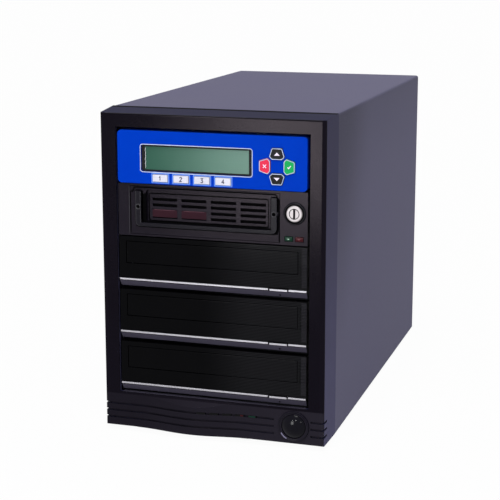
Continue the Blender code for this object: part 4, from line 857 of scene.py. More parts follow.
class Form:
    """A mesh under construction, in the tower's own metres."""

    def __init__(self) -> None:
        """Starts with an empty mesh."""
        self.sheet = bmesh.new()

    def loft(self, rings: Sequence[Sequence[Vector]], joined: bool = False) -> Form:
        """Adds a skin over rings of points.

        Args:
            rings: The rings, in order, each with as many points as the next.
            joined: True joins the last ring to the first; otherwise both ends are capped.

        Returns:
            This form.
        """
        corners = [[self.sheet.verts.new(point) for point in ring] for ring in rings]
        count = len(corners[0])
        pairs = list(zip(corners, corners[1:]))
        if joined:
            pairs.append((corners[-1], corners[0]))
        else:
            self.sheet.faces.new(corners[0][::-1])
            self.sheet.faces.new(corners[-1])
        for near, far in pairs:
            for i in range(count):
                j = (i + 1) % count
                self.sheet.faces.new((near[i], near[j], far[j], far[i]))
        return self

    def plate(self, outline: Loop, face: float, back: float, edge: float = 0.0, top: bool = False) -> Form:
        """Adds a flat plate with the edge of its face chamfered.

        Args:
            outline: Its outline in X and Z, or in X and Y where it lies flat.
            face: Where its face is, in Y, or in Z where it lies flat.
            back: Where its back is.
            edge: The chamfer's width.
            top: True lays it flat, seen from above.

        Returns:
            This form.
        """
        inward = math.copysign(edge, back - face)
        levels = [(back, outline)]
        if edge:
            levels += [(face + inward, outline), (face, offset(outline, -edge))]
        else:
            levels.append((face, outline))
        rings = []
        for level, loop in levels:
            rings.append([Vector((u, v, level)) for u, v in loop] if top else ring_at(loop, level))
        return self.loft(rings)

    def dome(self, outline: Loop, base: float, height: float, inset: float, steps: int = 4) -> Form:
        """Adds a domed pad that bulges to the front from a base at a given Y.

        Args:
            outline: Its outline in X and Z.
            base: Where it starts, in Y.
            height: How far it bulges.
            inset: How much narrower its top is.
            steps: How many levels it has.

        Returns:
            This form.
        """
        rings = []
        for step in range(steps + 1):
            angle = step / (steps + 1) * math.pi / 2
            loop = offset(outline, -inset * (1 - math.cos(angle)))
            rings.append(ring_at(loop, base - height * math.sin(angle)))
        return self.loft(rings)

    def ribbon(self, path: Loop, width: float, face: float, back: float) -> Form:
        """Adds a flat strip of even width along a path in X and Z.

        Args:
            path: Its middle line in X and Z.
            width: Its width.
            face: Where its face is, in Y.
            back: Where its back is.

        Returns:
            This form.
        """
        rings = []
        for i, here in enumerate(path):
            before = Vector(here) - Vector(path[max(i - 1, 0)])
            after = Vector(path[min(i + 1, len(path) - 1)]) - Vector(here)
            along = (before.normalized() + after.normalized()).normalized()
            turn = max(abs(along.dot((after if i == 0 else before).normalized())), MITRE_LEAST)
            side = Vector((along.y, -along.x)) * width / 2 / turn
            near, far = Vector(here) + side, Vector(here) - side
            corners = ((near, face), (far, face), (far, back), (near, back))
            rings.append([Vector((q.x, y, q.y)) for q, y in corners])
        return self.loft(rings)

    def screw(self, centre: Vector, axis: Vector, radius: float) -> Form:
        """Adds a pan head with a cross recess, which stands on the centre along the axis.

        Args:
            centre: Where it stands.
            axis: The way it points.
            radius: Its head's radius.

        Returns:
            This form.
        """
        turn = axis.to_track_quat("Z", "Y").to_matrix()
        sides, reach = SCREW_SIDES, radius * CROSS_REACH
        half = reach * math.tan(FULL_TURN / sides)
        cross = []
        for side in range(sides):
            spoke = polar(1.0, side / sides, 0.0)
            across, along = max(abs(spoke.x), WELD), max(abs(spoke.y), WELD)
            cross.append(max(min(reach / across, half / along), min(half / across, reach / along)))
        rings = []
        for share, level in SCREW_PROFILE:
            rings.append([(radius * share, radius * level)] * sides)
        rings.append([(spoke, radius * CROSS_TOP) for spoke in cross])
        rings.append([(spoke * CROSS_TAPER, radius * CROSS_FLOOR) for spoke in cross])
        placed = []
        for ring in rings:
            spokes = [polar(spoke, side / sides, level) for side, (spoke, level) in enumerate(ring)]
            placed.append([centre + turn @ spoke for spoke in spokes])
        return self.loft(placed)

    def band(self, outer: Loop, inner: Loop, front: float, back: float) -> Form:
        """Adds a flat ring between two outlines of as many points, seen from the front.

        Args:
            outer: The outer outline.
            inner: The inner outline.
            front: Where its face is, in Y.
            back: Where its back is.

        Returns:
            This form.
        """
        sections = ((outer, back), (outer, front), (inner, front), (inner, back))
        return self.loft([ring_at(outline, level) for outline, level in sections], joined=True)

    def turned(
        self, profile: Loop, centre: Vector, axis: Vector, sides: int = 32, joined: bool = False
    ) -> Form:
        """Adds a turned shape.

        Args:
            profile: Points of radius and distance along the axis; a closed end has a small radius.
            centre: Where the axis starts.
            axis: The axis's direction.
            sides: How many sides the circle has.
            joined: True joins the profile's last point to its first, as in a ring.

        Returns:
            This form.
        """
        turn = axis.to_track_quat("Z", "Y").to_matrix()
        rings = []
        for radius, along in profile:
            rings.append([centre + turn @ polar(radius, side / sides, along) for side in range(sides)])
        return self.loft(rings, joined)

    def made(self, name: str, smooth_degrees: float = 32.0) -> bpy.types.Object:
        """Ends the form as an object.

        Args:
            name: The piece's name.
            smooth_degrees: Edges that turn more than this stay crisp.

        Returns:
            The object, at the origin, with its place in its mesh.
        """
        bmesh.ops.recalc_face_normals(self.sheet, faces=self.sheet.faces)
        mesh = bpy.data.meshes.new(name)
        self.sheet.to_mesh(mesh)
        self.sheet.free()
        mesh.shade_smooth()
        mesh.set_sharp_from_angle(angle=math.radians(smooth_degrees))
        thing = bpy.data.objects.new(name, mesh)
        bpy.context.scene.collection.objects.link(thing)
        return thing


def offset(outline: Loop, growth: float) -> Loop:
    """An outline moved outwards, or inwards where the growth is negative.

    Args:
        outline: The outline's points, in order.
        growth: How far it moves, in metres.

    Returns:
        The moved outline.
    """
    area = sum(x0 * z1 - x1 * z0 for (x0, z0), (x1, z1) in zip(outline, outline[1:] + outline[:1]))
    side = math.copysign(1.0, area)
    moved = []
    for i, here in enumerate(outline):
        before = Vector(here) - Vector(outline[i - 1])
        after = Vector(outline[(i + 1) % len(outline)]) - Vector(here)
        before.normalize()
        after.normalize()
        out = Vector((before.y + after.y, -before.x - after.x)) * side
        out /= max(out.length_squared / 2, TURN_LEAST)
        moved.append(tuple(Vector(here) + out * growth))
    return moved


def rounded(outline: Loop, radius: float, steps: int = 4) -> Loop:
    """An outline with each corner turned into an arc.

    Args:
        outline: The outline's points, in order.
        radius: The arcs' radius.
        steps: How many stretches each arc has.

    Returns:
        The rounded outline.
    """
    points: Loop = []
    for i, here in enumerate(outline):
        corner = Vector(here)
        before = (Vector(outline[i - 1]) - corner).normalized()
        after = (Vector(outline[(i + 1) % len(outline)]) - corner).normalized()
        half = before.angle(after) / 2
        reach = radius / math.tan(half)
        middle = corner + (before + after).normalized() * (radius / math.sin(half))
        first = corner + before * reach - middle
        last = corner + after * reach - middle
        for step in range(steps + 1):
            spoke = first.slerp(last, step / steps)
            points.append(tuple(middle + spoke.normalized() * radius))
    return points


def rectangle(x: Span, z: Span) -> Loop:
    """A rectangle's outline, anticlockwise from the front."""
    return [(x[0], z[0]), (x[1], z[0]), (x[1], z[1]), (x[0], z[1])]


def ring_at(outline: Loop, level: float) -> list[Vector]:
    """An outline's points at a level in Y."""
    return [Vector((x, level, z)) for x, z in outline]


def polar(radius: float, turn: float, along: float) -> Vector:
    """A point at a radius and a share of a full turn round Z, at a height."""
    return Vector((radius * math.cos(turn * FULL_TURN), radius * math.sin(turn * FULL_TURN), along))


def reach_of(values: Iterable[float]) -> Span:
    """The span from the smallest of some values to the largest."""
    found = list(values)
    return min(found), max(found)


def hoop(inner: float, outer: float, depth: float = SKIN) -> Loop:
    """The profile of a flat ring that stands just proud of a face and reaches a depth into it."""
    return [(inner, -depth), (inner, SKIN), (outer, SKIN), (outer, -depth)]


def grown(span: Span, growth: float) -> Span:
    """A span made longer at both ends."""
    return span[0] - growth, span[1] + growth


def about(centre: float, half: float) -> Span:
    """A span round a centre."""
    return centre - half, centre + half


@dataclass(frozen=True)
class Box:
    """A node's box on the tower."""

    x: Span
    y: Span
    z: Span

    @classmethod
    def of(cls, node: str) -> Box:
        """The box of a CAD node at rest."""
        low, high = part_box(node)
        return cls((low.x, high.x), (low.y, high.y), (low.z, high.z))

    @property
    def middle(self) -> Vector:
        """The box's middle."""
        return Vector((sum(self.x) / 2, sum(self.y) / 2, sum(self.z) / 2))


def front_outline(thing: bpy.types.Object) -> Loop:
    """The convex outline of a node's foremost flat face, anticlockwise from the front.

    Args:
        thing: The CAD node.

    Returns:
        The outline in X and Z.
    """
    mesh = thing.data
    front = min(vertex.co.y for vertex in mesh.vertices)
    points = {(round(v.co.x, 6), round(v.co.z, 6)) for v in mesh.vertices if v.co.y < front + SAME}
    centre = sum((Vector(p) for p in points), Vector((0, 0))) / len(points)
    return sorted(points, key=lambda p: math.atan2(p[1] - centre.y, p[0] - centre.x))


def spans_at(thing: bpy.types.Object, level: float) -> tuple[Span, Span]:
    """The spans in X and in Z of a node's corners at a level in Y."""
    points = [vertex.co for vertex in thing.data.vertices if abs(vertex.co.y - level) < SAME]
    return reach_of(point.x for point in points), reach_of(point.z for point in points)


class Skin:
    """The front side of a CAD node, to lay thin pieces on."""

    def __init__(self, thing: bpy.types.Object) -> None:
        """Takes the node's faces."""
        corners = [vertex.co.copy() for vertex in thing.data.vertices]
        self.tree = BVHTree.FromPolygons(corners, [tuple(face.vertices) for face in thing.data.polygons])

    def y(self, x: float, z: float) -> float:
        """How far back the surface lies at a place seen from the front."""
        return self.tree.ray_cast(Vector((x, AFAR, z)), BACK)[0].y


class Assembly:
    """A group of pieces that belong together on the tower."""

    def __init__(self, nodes: dict[str, bpy.types.Object], crisp: bpy.types.NodeTree) -> None:
        """Keeps the frame's nodes and the group that keeps edges crisp."""
        self.nodes = nodes
        self.crisp = crisp

    def add(self, name: str, form: Form, finish: Finish, body: str = "tower") -> None:
        """Adds a new piece to a body.

        Args:
            name: The piece's name.
            form: Its mesh.
            finish: Its finish.
            body: The body that it rides on.
        """
        thing = form.made(name)
        thing.data.materials.append(finish.material())
        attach(thing, body)
        LOG.info("piece %s on %s", name, body)

    def dress(self, node: str, finish: Finish, edge: float = MOULD_EDGE, flat_degrees: float = 0.3) -> None:
        """Gives a CAD node its finish and its rounded edges.

        Args:
            node: The node's name.
            finish: Its finish.
            edge: The width of its rounded edges.
            flat_degrees: Faces that turn less than this are merged first.
        """
        thing = self.nodes[node]
        thing.data.materials.clear()
        thing.data.materials.append(finish.material())
        weld = thing.modifiers.new("weld", "WELD")
        weld.merge_threshold = WELD
        flat = thing.modifiers.new("flat", "DECIMATE")
        flat.decimate_type = "DISSOLVE"
        flat.angle_limit = math.radians(flat_degrees)
        self.soften(thing, edge)
        LOG.info("dressed %s", node)

    def soften(self, thing: bpy.types.Object, edge: float) -> None:
        """Rounds an object's edges and keeps its flats flat.

        Args:
            thing: The object.
            edge: The width of its rounded edges.
        """
        if edge:
            bevel = thing.modifiers.new("edges", "BEVEL")
            bevel.width = edge
            bevel.segments = BEVEL_SEGMENTS
            bevel.limit_method = "ANGLE"
            bevel.angle_limit = math.radians(BEVEL_DEGREES)
        crisp = thing.modifiers.new("crisp", "NODES")
        crisp.node_group = self.crisp
        weighted = thing.modifiers.new("normals", "WEIGHTED_NORMAL")
        weighted.keep_sharp = True
        weighted.weight = NORMAL_WEIGHT


def crisp_group(widest_degrees: float = 50.0) -> bpy.types.NodeTree:
    """A geometry group that shades a mesh smooth, apart from its sharpest edges.

    Args:
        widest_degrees: Edges that turn more than this stay sharp.

    Returns:
        The group.
    """
    tree = bpy.data.node_groups.new("crisp_edges", "GeometryNodeTree")
    tree.interface.new_socket("Geometry", in_out="INPUT", socket_type="NodeSocketGeometry")
    tree.interface.new_socket("Geometry", in_out="OUTPUT", socket_type="NodeSocketGeometry")
    nodes = Nodes(tree)
    start = nodes.wire(nodes.node("NodeGroupInput"))
    smooth = nodes.node(
        "GeometryNodeSetShadeSmooth", {"domain": "FACE"}, {"Geometry": start, "Shade Smooth": True}
    )
    turn = nodes.wire(nodes.node("GeometryNodeInputMeshEdgeAngle"), "Unsigned Angle")
    sharp = turn > math.radians(widest_degrees)
    inputs = {"Geometry": nodes.wire(smooth), "Selection": sharp, "Shade Smooth": False}
    crisp = nodes.node("GeometryNodeSetShadeSmooth", {"domain": "EDGE"}, inputs)
    nodes.node("NodeGroupOutput", None, {0: nodes.wire(crisp)})
    return tree


WORN_BLACK = (0.030, 0.029, 0.035)
WARM_SHEEN = (1.0, 0.86, 0.95)
BEZEL = BezelMoulding(
    "bezel_moulding",
    "bezel_plastic",
    (0.0010, 0.0007, 0.0026),
    0.20,
    0.062,
    worn=WORN_BLACK,
    sheen=WARM_SHEEN,
)
RACK = Moulding(
    "rack_moulding", "rack_plastic", (0.0042, 0.0035, 0.0066), 0.24, 0.080, worn=WORN_BLACK, sheen=WARM_SHEEN
)
# Lighter edges: partly wear, partly painted highlights along the edges of the handle and the lock's collar.
HANDLE = Moulding(
    "handle_moulding",
    "rack_plastic",
    (0.0050, 0.0045, 0.0072),
    0.24,
    0.060,
    0.0003,
    rub=0.8,
    worn=(0.055, 0.053, 0.065),
)
# Pale black: the beads round the pivot caps, and painted highlights on the handle and the frame's post.
BEAD_AND_GLINT = Moulding("cap_bead_and_glint", "rack_plastic", (0.020, 0.019, 0.024), 0.25, 0.3, rub=0.0)
# Near black: painted shade in grooves, wells, gaps and holes, and the dark caps, seams and hooks.
SHADOW_AND_DARK_TRIM = Moulding("track_shadow", "rack_plastic", (0.0008, 0.0008, 0.0010), 0.60, 0.01, rub=0.0)
SCREEN = Moulding("dust_screen", "rack_plastic", (0.0022, 0.0020, 0.0024), 0.90, 0.02, 0.0006, rub=0.0)
FACEFRAME = Moulding("display_frame", "display", (0.008, 0.008, 0.010), 0.40, 0.05, rub=0.0)
KEY_BLACK = Moulding("key_black_moulding", "key_black", (0.006, 0.006, 0.007), 0.40, 0.06, rub=0.1)
KEY_RED = Moulding(
    "key_red_moulding", "key_red", (0.52, 0.020, 0.055), 0.40, 0.05, rub=0.1, worn=(0.8, 0.2, 0.2)
)
KEY_GREEN = Moulding(
    "key_green_moulding", "key_green", (0.004, 0.260, 0.065), 0.40, 0.05, rub=0.1, worn=(0.3, 0.7, 0.4)
)
KEY_WHITE = Moulding(
    "key_white_moulding",
    "key_white",
    (0.45, 0.45, 0.52),
    0.42,
    0.10,
    haze=0.05,
    rub=0.1,
    worn=(0.4, 0.4, 0.4),
)
TRAY = Moulding("tray_moulding", "tray_plastic", (0.014, 0.014, 0.016), 0.42, 0.25)
FAN = Moulding("fan_moulding", "fan_plastic", (0.014, 0.014, 0.015), 0.45, 0.25, grain=0.0006)
SOCKET = Moulding("socket_moulding", "socket_plastic", (0.009, 0.009, 0.009), 0.38, 0.25)
# The drives' matte chins, and the painted light on the ledge above the lip.
SLATE_AND_PAINTED_LEDGE = Moulding("chin_slate", "drive_gloss", (0.034, 0.031, 0.046), 0.50, 0.06, rub=0.0)
RIB = Moulding("rib_slate", "drive_gloss", (0.011, 0.010, 0.014), 0.35, 0.08, rub=0.0)
CASE = PowderPaint("case_powder", "case_paint", (0.108, 0.103, 0.168), 0.60, 0.04)
STEEL = SheetSteel("zinc_steel", "bare_steel")
BLUE = OverlayFilm("panel_overlay", "panel_blue", (0.0002, 0.031, 0.375), 0.36, 0.004)
PALE_INK = OverlayFilm("pale_ink", "panel_blue", (0.36, 0.42, 0.58), 0.4, 0.1)
FRAME_INK = OverlayFilm("frame_ink", "panel_blue", (0.090, 0.200, 0.640), 0.4, 0.1)
WHITE_INK = OverlayFilm("white_ink", "key_white", (0.66, 0.60, 0.76), 0.4, 0.1)
GREY_INK = OverlayFilm("grey_ink", "key_white", (0.045, 0.045, 0.085), 0.4, 0.1)
FLEX_GLINT = OverlayFilm("flex_glint", "rack_plastic", (0.085, 0.034, 0.050), 0.4, 0.1)
FLEX = OverlayFilm("flex_maroon", "rack_plastic", (0.0215, 0.0062, 0.0112), 0.4, 0.03)
DRIVE_GLOSS = Gloss(
    "drive_gloss_lined", "drive_gloss", (0.0016, 0.0016, 0.0020), 0.10, 0.028, line_pitch=0.00115
)
BUTTON_GLOSS = Gloss("button_gloss_plain", "button_gloss", (0.0016, 0.0013, 0.0040), 0.09, 0.095)
SMOKED = Gloss("window_smoked", "button_gloss", (0.0010, 0.0010, 0.0014), 0.12, 0.10)
STRIP = Bright("strip_silver", "bright_key", (0.36, 0.35, 0.385), 0.34, metallic=0.8)
CHROME = Bright("lock_plating", "lock_chrome", (0.43, 0.40, 0.41), 0.50, metallic=0.75)
DISK_METAL = Bright("disk_casting", "disk_metal", (0.50, 0.50, 0.51), 0.38, (300.0, 300.0, 300.0), 0.00001)
SPINDLE_METAL = Bright("spindle_metal_turned", "spindle_metal", (0.46, 0.46, 0.47), 0.34)
SCREW = Bright("screw_zinc", "bare_steel", (0.52, 0.52, 0.50), 0.32)
PIN_METAL = Bright("pin_brass", "bare_steel", (0.66, 0.60, 0.44), 0.30)
GREEN_LENS = Lens("green_lens", "lamp_green", (0.001, 0.036, 0.018), (0.01, 0.07, 0.04), 0.12)
RED_LENS = Lens("red_lens", "lamp_red", (0.055, 0.002, 0.007), (0.09, 0.02, 0.03), 0.12)
# Painted glints in the lamps' domes.
GREEN_GLINT = OverlayFilm("green_spark", "lamp_green", (0.38, 0.60, 0.48), 0.4, 0.1)
RED_GLINT = OverlayFilm("red_spark", "lamp_red", (0.20, 0.055, 0.065), 0.4, 0.1)
GREEN_WINDOW = Lens("green_window", "lamp_green", (0.001, 0.030, 0.019), (0.01, 0.05, 0.03), 0.1)
RED_WINDOW = Lens("red_window", "lamp_red", (0.040, 0.002, 0.005), (0.06, 0.01, 0.02), 0.1)
RING_GLOSS = Gloss("ring_gloss", "bezel_plastic", (0.0072, 0.0062, 0.0110), 0.28, 0.07)
# A painted highlight on the power button's ring.
RING_SHEEN = OverlayFilm("ring_sheen", "bezel_plastic", (0.13, 0.125, 0.19), 0.4, 0.1)
BOARD = CircuitBoard("board_mask", "board_green")
RUBBER = Rubber("foot_bloom", "foot_rubber")


@dataclass(frozen=True)
class Softbox:
    """A soft lamp that points at the tower."""

    place: tuple[float, float, float]
    power: float
    width: float
    height: float


@dataclass
class Studio:
    """The floor, the lamps and the camera."""

    camera_place: tuple[float, float, float] = (0.3239, -1.1195, 0.3706)
    camera_yaw: float = 0.3007
    camera_pitch: float = 0.2025
    camera_lens: float = 98.72
    camera_shift: float = -0.04
    camera_sensor: float = 36.0
    camera_clip: Span = (0.01, 200.0)
    floor_reach: float = 60.0
    floor_levels: Span = (-0.02, -0.0002)
    floor_fibre: float = 0.002
    floor_shade: float = 0.99
    floor_colour: Colour = (0.70, 0.70, 0.71)
    floor_glow: float = 0.96
    sky_level: float = 0.30
    sun_power: float = 2.2
    sun_azimuth: float = 12.0
    sun_zenith: float = 24.0
    sun_width: float = 30.0
    aim: tuple[float, float, float] = (0.0, -0.17, 0.12)
    softboxes: tuple[Softbox, ...] = (
        Softbox((-0.14, -0.90, 0.17), 2.7, 0.20, 0.26),
        Softbox((-0.36, -1.60, 0.83), 1.5, 0.08, 0.08),
        Softbox((0.20, -1.60, 0.84), 2.2, 0.09, 0.09),
        Softbox((0.98, -1.30, 0.48), 0.8, 0.12, 0.12),
        Softbox((0.75, 0.45, 0.40), 0.35, 0.30, 0.30),
    )

    def build(self) -> None:
        """Sets up the whole studio."""
        self.floor()
        self.sky()
        self.lamps()
        self.camera()

    def floor(self) -> None:
        """A plain pale floor, which the camera sees nearly white."""
        corners = rectangle(about(0.0, self.floor_reach), about(0.0, self.floor_reach))
        levels = [[Vector((x, y, z)) for x, y in corners] for z in self.floor_levels]
        floor = Form().loft(levels).made("floor")
        shader = Shader("floor_paper")
        fibre = shader.noise(shader.place(), self.floor_fibre, 2.0)
        colour = shader.mix(fibre, toned(self.floor_colour, self.floor_shade), self.floor_colour)
        inputs = {"Base Color": colour, "Roughness": 0.9, "Specular IOR Level": 0.0}
        paper = shader.wire(shader.node("ShaderNodeBsdfPrincipled", None, inputs))
        white = shader.wire(shader.node("ShaderNodeEmission", None, {"Strength": 1.0}))
        share = self.direct_rays(shader) * self.floor_glow
        mixed = shader.node("ShaderNodeMixShader", None, {0: share, 1: paper, 2: white})
        shader.node("ShaderNodeOutputMaterial", None, {"Surface": shader.wire(mixed)})
        floor.data.materials.append(shader.material)

    @staticmethod
    def direct_rays(nodes: Nodes) -> Wire:
        """One for rays that show the background: the camera's, mirrored and transmitted ones.

        Args:
            nodes: The tree that uses the mask.

        Returns:
            The mask.
        """
        path = nodes.node("ShaderNodeLightPath")
        seen = nodes.maths("MAXIMUM", nodes.wire(path, "Is Camera Ray"), nodes.wire(path, "Is Glossy Ray"))
        return nodes.maths("MAXIMUM", seen, nodes.wire(path, "Is Transmission Ray"))

    def sky(self) -> None:
        """A white background that lights the object at a plain level."""
        world = bpy.data.worlds.new("studio_sky")
        world.use_nodes = True
        bpy.context.scene.world = world
        nodes = Nodes(world.node_tree)
        strength = self.direct_rays(nodes) * (1 - self.sky_level) + self.sky_level
        back = nodes.node("ShaderNodeBackground", None, {"Color": (1.0, 1.0, 1.0), "Strength": strength})
        nodes.node("ShaderNodeOutputWorld", None, {"Surface": nodes.wire(back)})

    def lamps(self) -> None:
        """One broad lamp overhead, and soft ones in front, at the side and behind."""
        lamp = bpy.data.lights.new("overhead", "SUN")
        lamp.energy = self.sun_power
        lamp.angle = math.radians(self.sun_width)
        turn = Matrix.Rotation(math.radians(self.sun_azimuth), 3, "Z")
        turn = turn @ Matrix.Rotation(math.radians(self.sun_zenith), 3, "X")
        self.place_lamp(lamp, Vector((0.0, 0.0, 1.0)), turn)
        for number, box in enumerate(self.softboxes, 1):
            lamp = bpy.data.lights.new(f"softbox_{number}", "AREA")
            lamp.energy = box.power
            lamp.shape = "RECTANGLE"
            lamp.size, lamp.size_y = box.width, box.height
            place = Vector(box.place)
            ahead = Vector(self.aim) - place
            self.place_lamp(lamp, place, ahead.to_track_quat("-Z", "Y").to_matrix())

    @staticmethod
    def place_lamp(lamp: bpy.types.Light, place: Vector, turn: Matrix) -> None:
        """Puts a lamp in its place, unseen by the camera.

        Args:
            lamp: The lamp.
            place: Where it hangs.
            turn: How it is turned.
        """
        thing = bpy.data.objects.new(lamp.name, lamp)
        thing.matrix_world = Matrix.Translation(place) @ turn.to_4x4()
        thing.visible_camera = False
        bpy.context.scene.collection.objects.link(thing)

    def camera(self) -> None:
        """The camera at the photograph's place and angle."""
        data = bpy.data.cameras.new("camera")
        data.sensor_width = self.camera_sensor
        data.lens = self.camera_lens
        data.shift_y = self.camera_shift
        data.clip_start, data.clip_end = self.camera_clip
        thing = bpy.data.objects.new("camera", data)
        thing.location = self.camera_place
        thing.rotation_euler = (math.pi / 2 - self.camera_pitch, 0.0, self.camera_yaw)
        bpy.context.scene.collection.objects.link(thing)
        bpy.context.scene.camera = thing
        bpy.context.scene.view_settings.view_transform = "Standard"


class Quarter(Enum):
    """The four keys of the pad, each with its node, its body and its finish."""

    UP = "pad_key_up", "pad_up", KEY_BLACK
    LEFT = "pad_key_left", "pad_left", KEY_RED
    DOWN = "pad_key_down", "pad_down", KEY_BLACK
    RIGHT = "pad_key_right", "pad_right", KEY_GREEN

    def __init__(self, node: str, body: str, finish: Finish) -> None:
        """Keeps the key's node, body and finish.

        Args:
            node: The key's node.
            body: The body that it rides on.
            finish: Its finish.
        """
        self.node = node
        self.body = body
        self.finish = finish


@dataclass(frozen=True)
class CasingSizes:
    """The button's dome and ring, the lip's windows, the plate of painted light on its ledge, and the
    painted shadow under the case's edge.
    """

    dome_radius: float = 0.0090
    dome_base: float = -0.0011
    dome_height: float = 0.0022
    dome_steps: int = 9
    dome_sides: int = 48
    ring: tuple[Span, ...] = (
        (0.01012, -0.0002), (0.01012, 0.00064), (0.0104, 0.00075), (0.0109, 0.00102),
        (0.0114, 0.00130), (0.0118, 0.00128), (0.0121, 0.00070), (0.0122, -0.0002),
    )
    ring_clear_share: float = 1.1
    sheen_radius: float = 0.0110
    sheen_width: float = 0.0010
    sheen_turn: Span = (210.0, 242.0)
    window_first: float = -0.0080
    window_pitch: float = 0.00995
    window_count: int = 5
    window_half: float = 0.0033
    window_rise: float = 0.00075
    window_proud: float = 0.00010
    window_depth: float = 0.0015
    window_steps: int = 6
    lens_rise: float = 0.0005
    disk_shares: Span = (0.2, 0.9)
    power_shares: Span = (-0.8, 0.8)
    ledge_inset: float = 0.0006
    ledge_depth: float = 0.0046
    ledge_drop: float = 0.0003
    shadow_drops: Span = (0.00036, 0.00006)
    shadow_inset: float = 0.0003


class Casing(Assembly):
    """The bezel, the steel case and its feet."""

    sizes = CasingSizes()

    def build(self) -> None:
        """Dresses the casing."""
        self.dress("front_bezel", BEZEL, BEZEL_EDGE)
        for node in ("cover_shell", "rear_panel"):
            self.dress(node, CASE, SHEET_EDGE)
        for node in ("base_pan", "front_frame", "bay_cage_left", "bay_cage_right"):
            self.dress(node, STEEL, SHEET_EDGE)
        for corner in ("front_left", "front_right", "rear_left", "rear_right"):
            self.dress(f"foot_{corner}", RUBBER, SOFT_EDGE)
        self.dress("power_button", BUTTON_GLOSS)
        self.dress("disk_lens", RED_LENS, LENS_EDGE)
        self.dress("power_lens", GREEN_LENS, LENS_EDGE)
        self.button()
        self.windows()
        self.ledge()
        self.joint()

    def joint(self) -> None:
        """A painted shadow where the bezel's top meets the case, under the case's edge."""
        sizes, box, bezel = self.sizes, Box.of("front_bezel"), Skin(self.nodes["front_bezel"])
        levels = [box.z[1] - drop for drop in sizes.shadow_drops]
        edges = [(bezel.y(0.0, level), level) for level in levels]
        # painted shadow under the case's edge
        rings = []
        for across in grown(box.x, -sizes.shadow_inset):
            upper = [Vector((across, y, level + LIFT)) for y, level in edges]
            lower = [Vector((across, y, level - SKIN)) for y, level in reversed(edges)]
            rings.append(upper + lower)
        self.add("brow_painted_shadow", Form().loft(rings), SHADOW_AND_DARK_TRIM)

    def ledge(self) -> None:
        """A paler plate on the ledge between the lowest drive and the lip: painted light where shade falls
        there.
        """
        sizes, drive = self.sizes, Box.of("drive_bezel_3")
        x, level = grown(drive.x, -sizes.ledge_inset), drive.z[0] - sizes.ledge_drop
        front = Skin(self.nodes["front_bezel"]).y(x[0], level - sizes.ledge_drop)
        outline = rectangle(x, (front + sizes.ledge_inset, front + sizes.ledge_depth))
        # painted light on the ledge, where shade falls
        form = Form().plate(outline, level + sizes.ledge_drop / 2, level, LIFT, True)
        self.add("lip_ledge_painted_light", form, SLATE_AND_PAINTED_LEDGE)

    def button(self) -> None:
        """The power button's dome, and the moulded ring round it with a painted crescent of sheen."""
        sizes, box, bezel = self.sizes, Box.of("power_button"), Skin(self.nodes["front_bezel"])
        centre = Vector((box.middle.x, box.y[0], box.middle.z))
        rise = sizes.dome_height - sizes.dome_base
        radius = (sizes.dome_radius ** 2 + rise ** 2) / (2 * rise)
        profile = []
        for step in range(sizes.dome_steps):
            reach = sizes.dome_radius * math.cos(step / sizes.dome_steps * math.pi / 2)
            profile.append((reach, sizes.dome_height - radius + math.sqrt(radius ** 2 - reach ** 2)))
        dome = Form().turned(profile, centre, AHEAD, sizes.dome_sides)
        self.add("power_dome", dome, BUTTON_GLOSS, "power_key")
        widest = max(reach for reach, _ in sizes.ring)
        face = bezel.y(centre.x - widest * sizes.ring_clear_share, centre.z)
        foot = Vector((centre.x, face, centre.z))
        ring = Form().turned(sizes.ring, foot, AHEAD, sizes.dome_sides, joined=True)
        self.add("power_ring", ring, RING_GLOSS)
        first, last = sizes.sheen_turn
        path = []
        for step in range(sizes.dome_steps + 1):
            turn = math.radians(first + (last - first) * step / sizes.dome_steps) / FULL_TURN
            spoke = polar(sizes.sheen_radius, turn, 0.0)
            path.append((centre.x + spoke.x, centre.z + spoke.y))
        crest = face - max(proud for _, proud in sizes.ring)
        # painted highlight on the ring's lower left
        sheen = Form().ribbon(path, sizes.sheen_width, crest - LIFT, crest + SKIN)
        self.add("power_ring_sheen", sheen, RING_SHEEN)

    def windows(self) -> None:
        """The smoked windows in the lip, with a red lens in the fourth and a green one in the last."""
        sizes = self.sizes
        height = Box.of("disk_lens").middle.z
        z = about(height, sizes.window_rise)
        for number in range(sizes.window_count):
            x = about(sizes.window_first + number * sizes.window_pitch, sizes.window_half)
            self.add(f"window_{number + 1}", self.draped(x, z, sizes.window_proud), SMOKED)
        lamps = (("disk", RED_WINDOW, sizes.disk_shares), ("power", GREEN_WINDOW, sizes.power_shares))
        for node, finish, shares in lamps:
            across = Box.of(f"{node}_lens").middle.x
            x = across + shares[0] * sizes.window_half, across + shares[1] * sizes.window_half
            pad = self.draped(x, about(height, sizes.lens_rise), sizes.window_proud * 2)
            self.add(f"{node}_window", pad, finish)

    def draped(self, x: Span, z: Span, proud: float) -> Form:
        """A pad that follows the bowed lip across, over its groove.

        Args:
            x: Its span across.
            z: Its span upwards.
            proud: How far it stands out.

        Returns:
            The form.
        """
        skin, sizes = Skin(self.nodes["front_bezel"]), self.sizes
        rings = []
        for step in range(sizes.window_steps + 1):
            across = x[0] + (x[1] - x[0]) * step / sizes.window_steps
            front = min(skin.y(across, level) for level in grown(z, sizes.window_rise))
            near, far = front - proud, front + sizes.window_depth
            corners = ((z[0], near), (z[0], far), (z[1], far), (z[1], near))
            rings.append([Vector((across, y, level)) for level, y in corners])
        return Form().loft(rings)


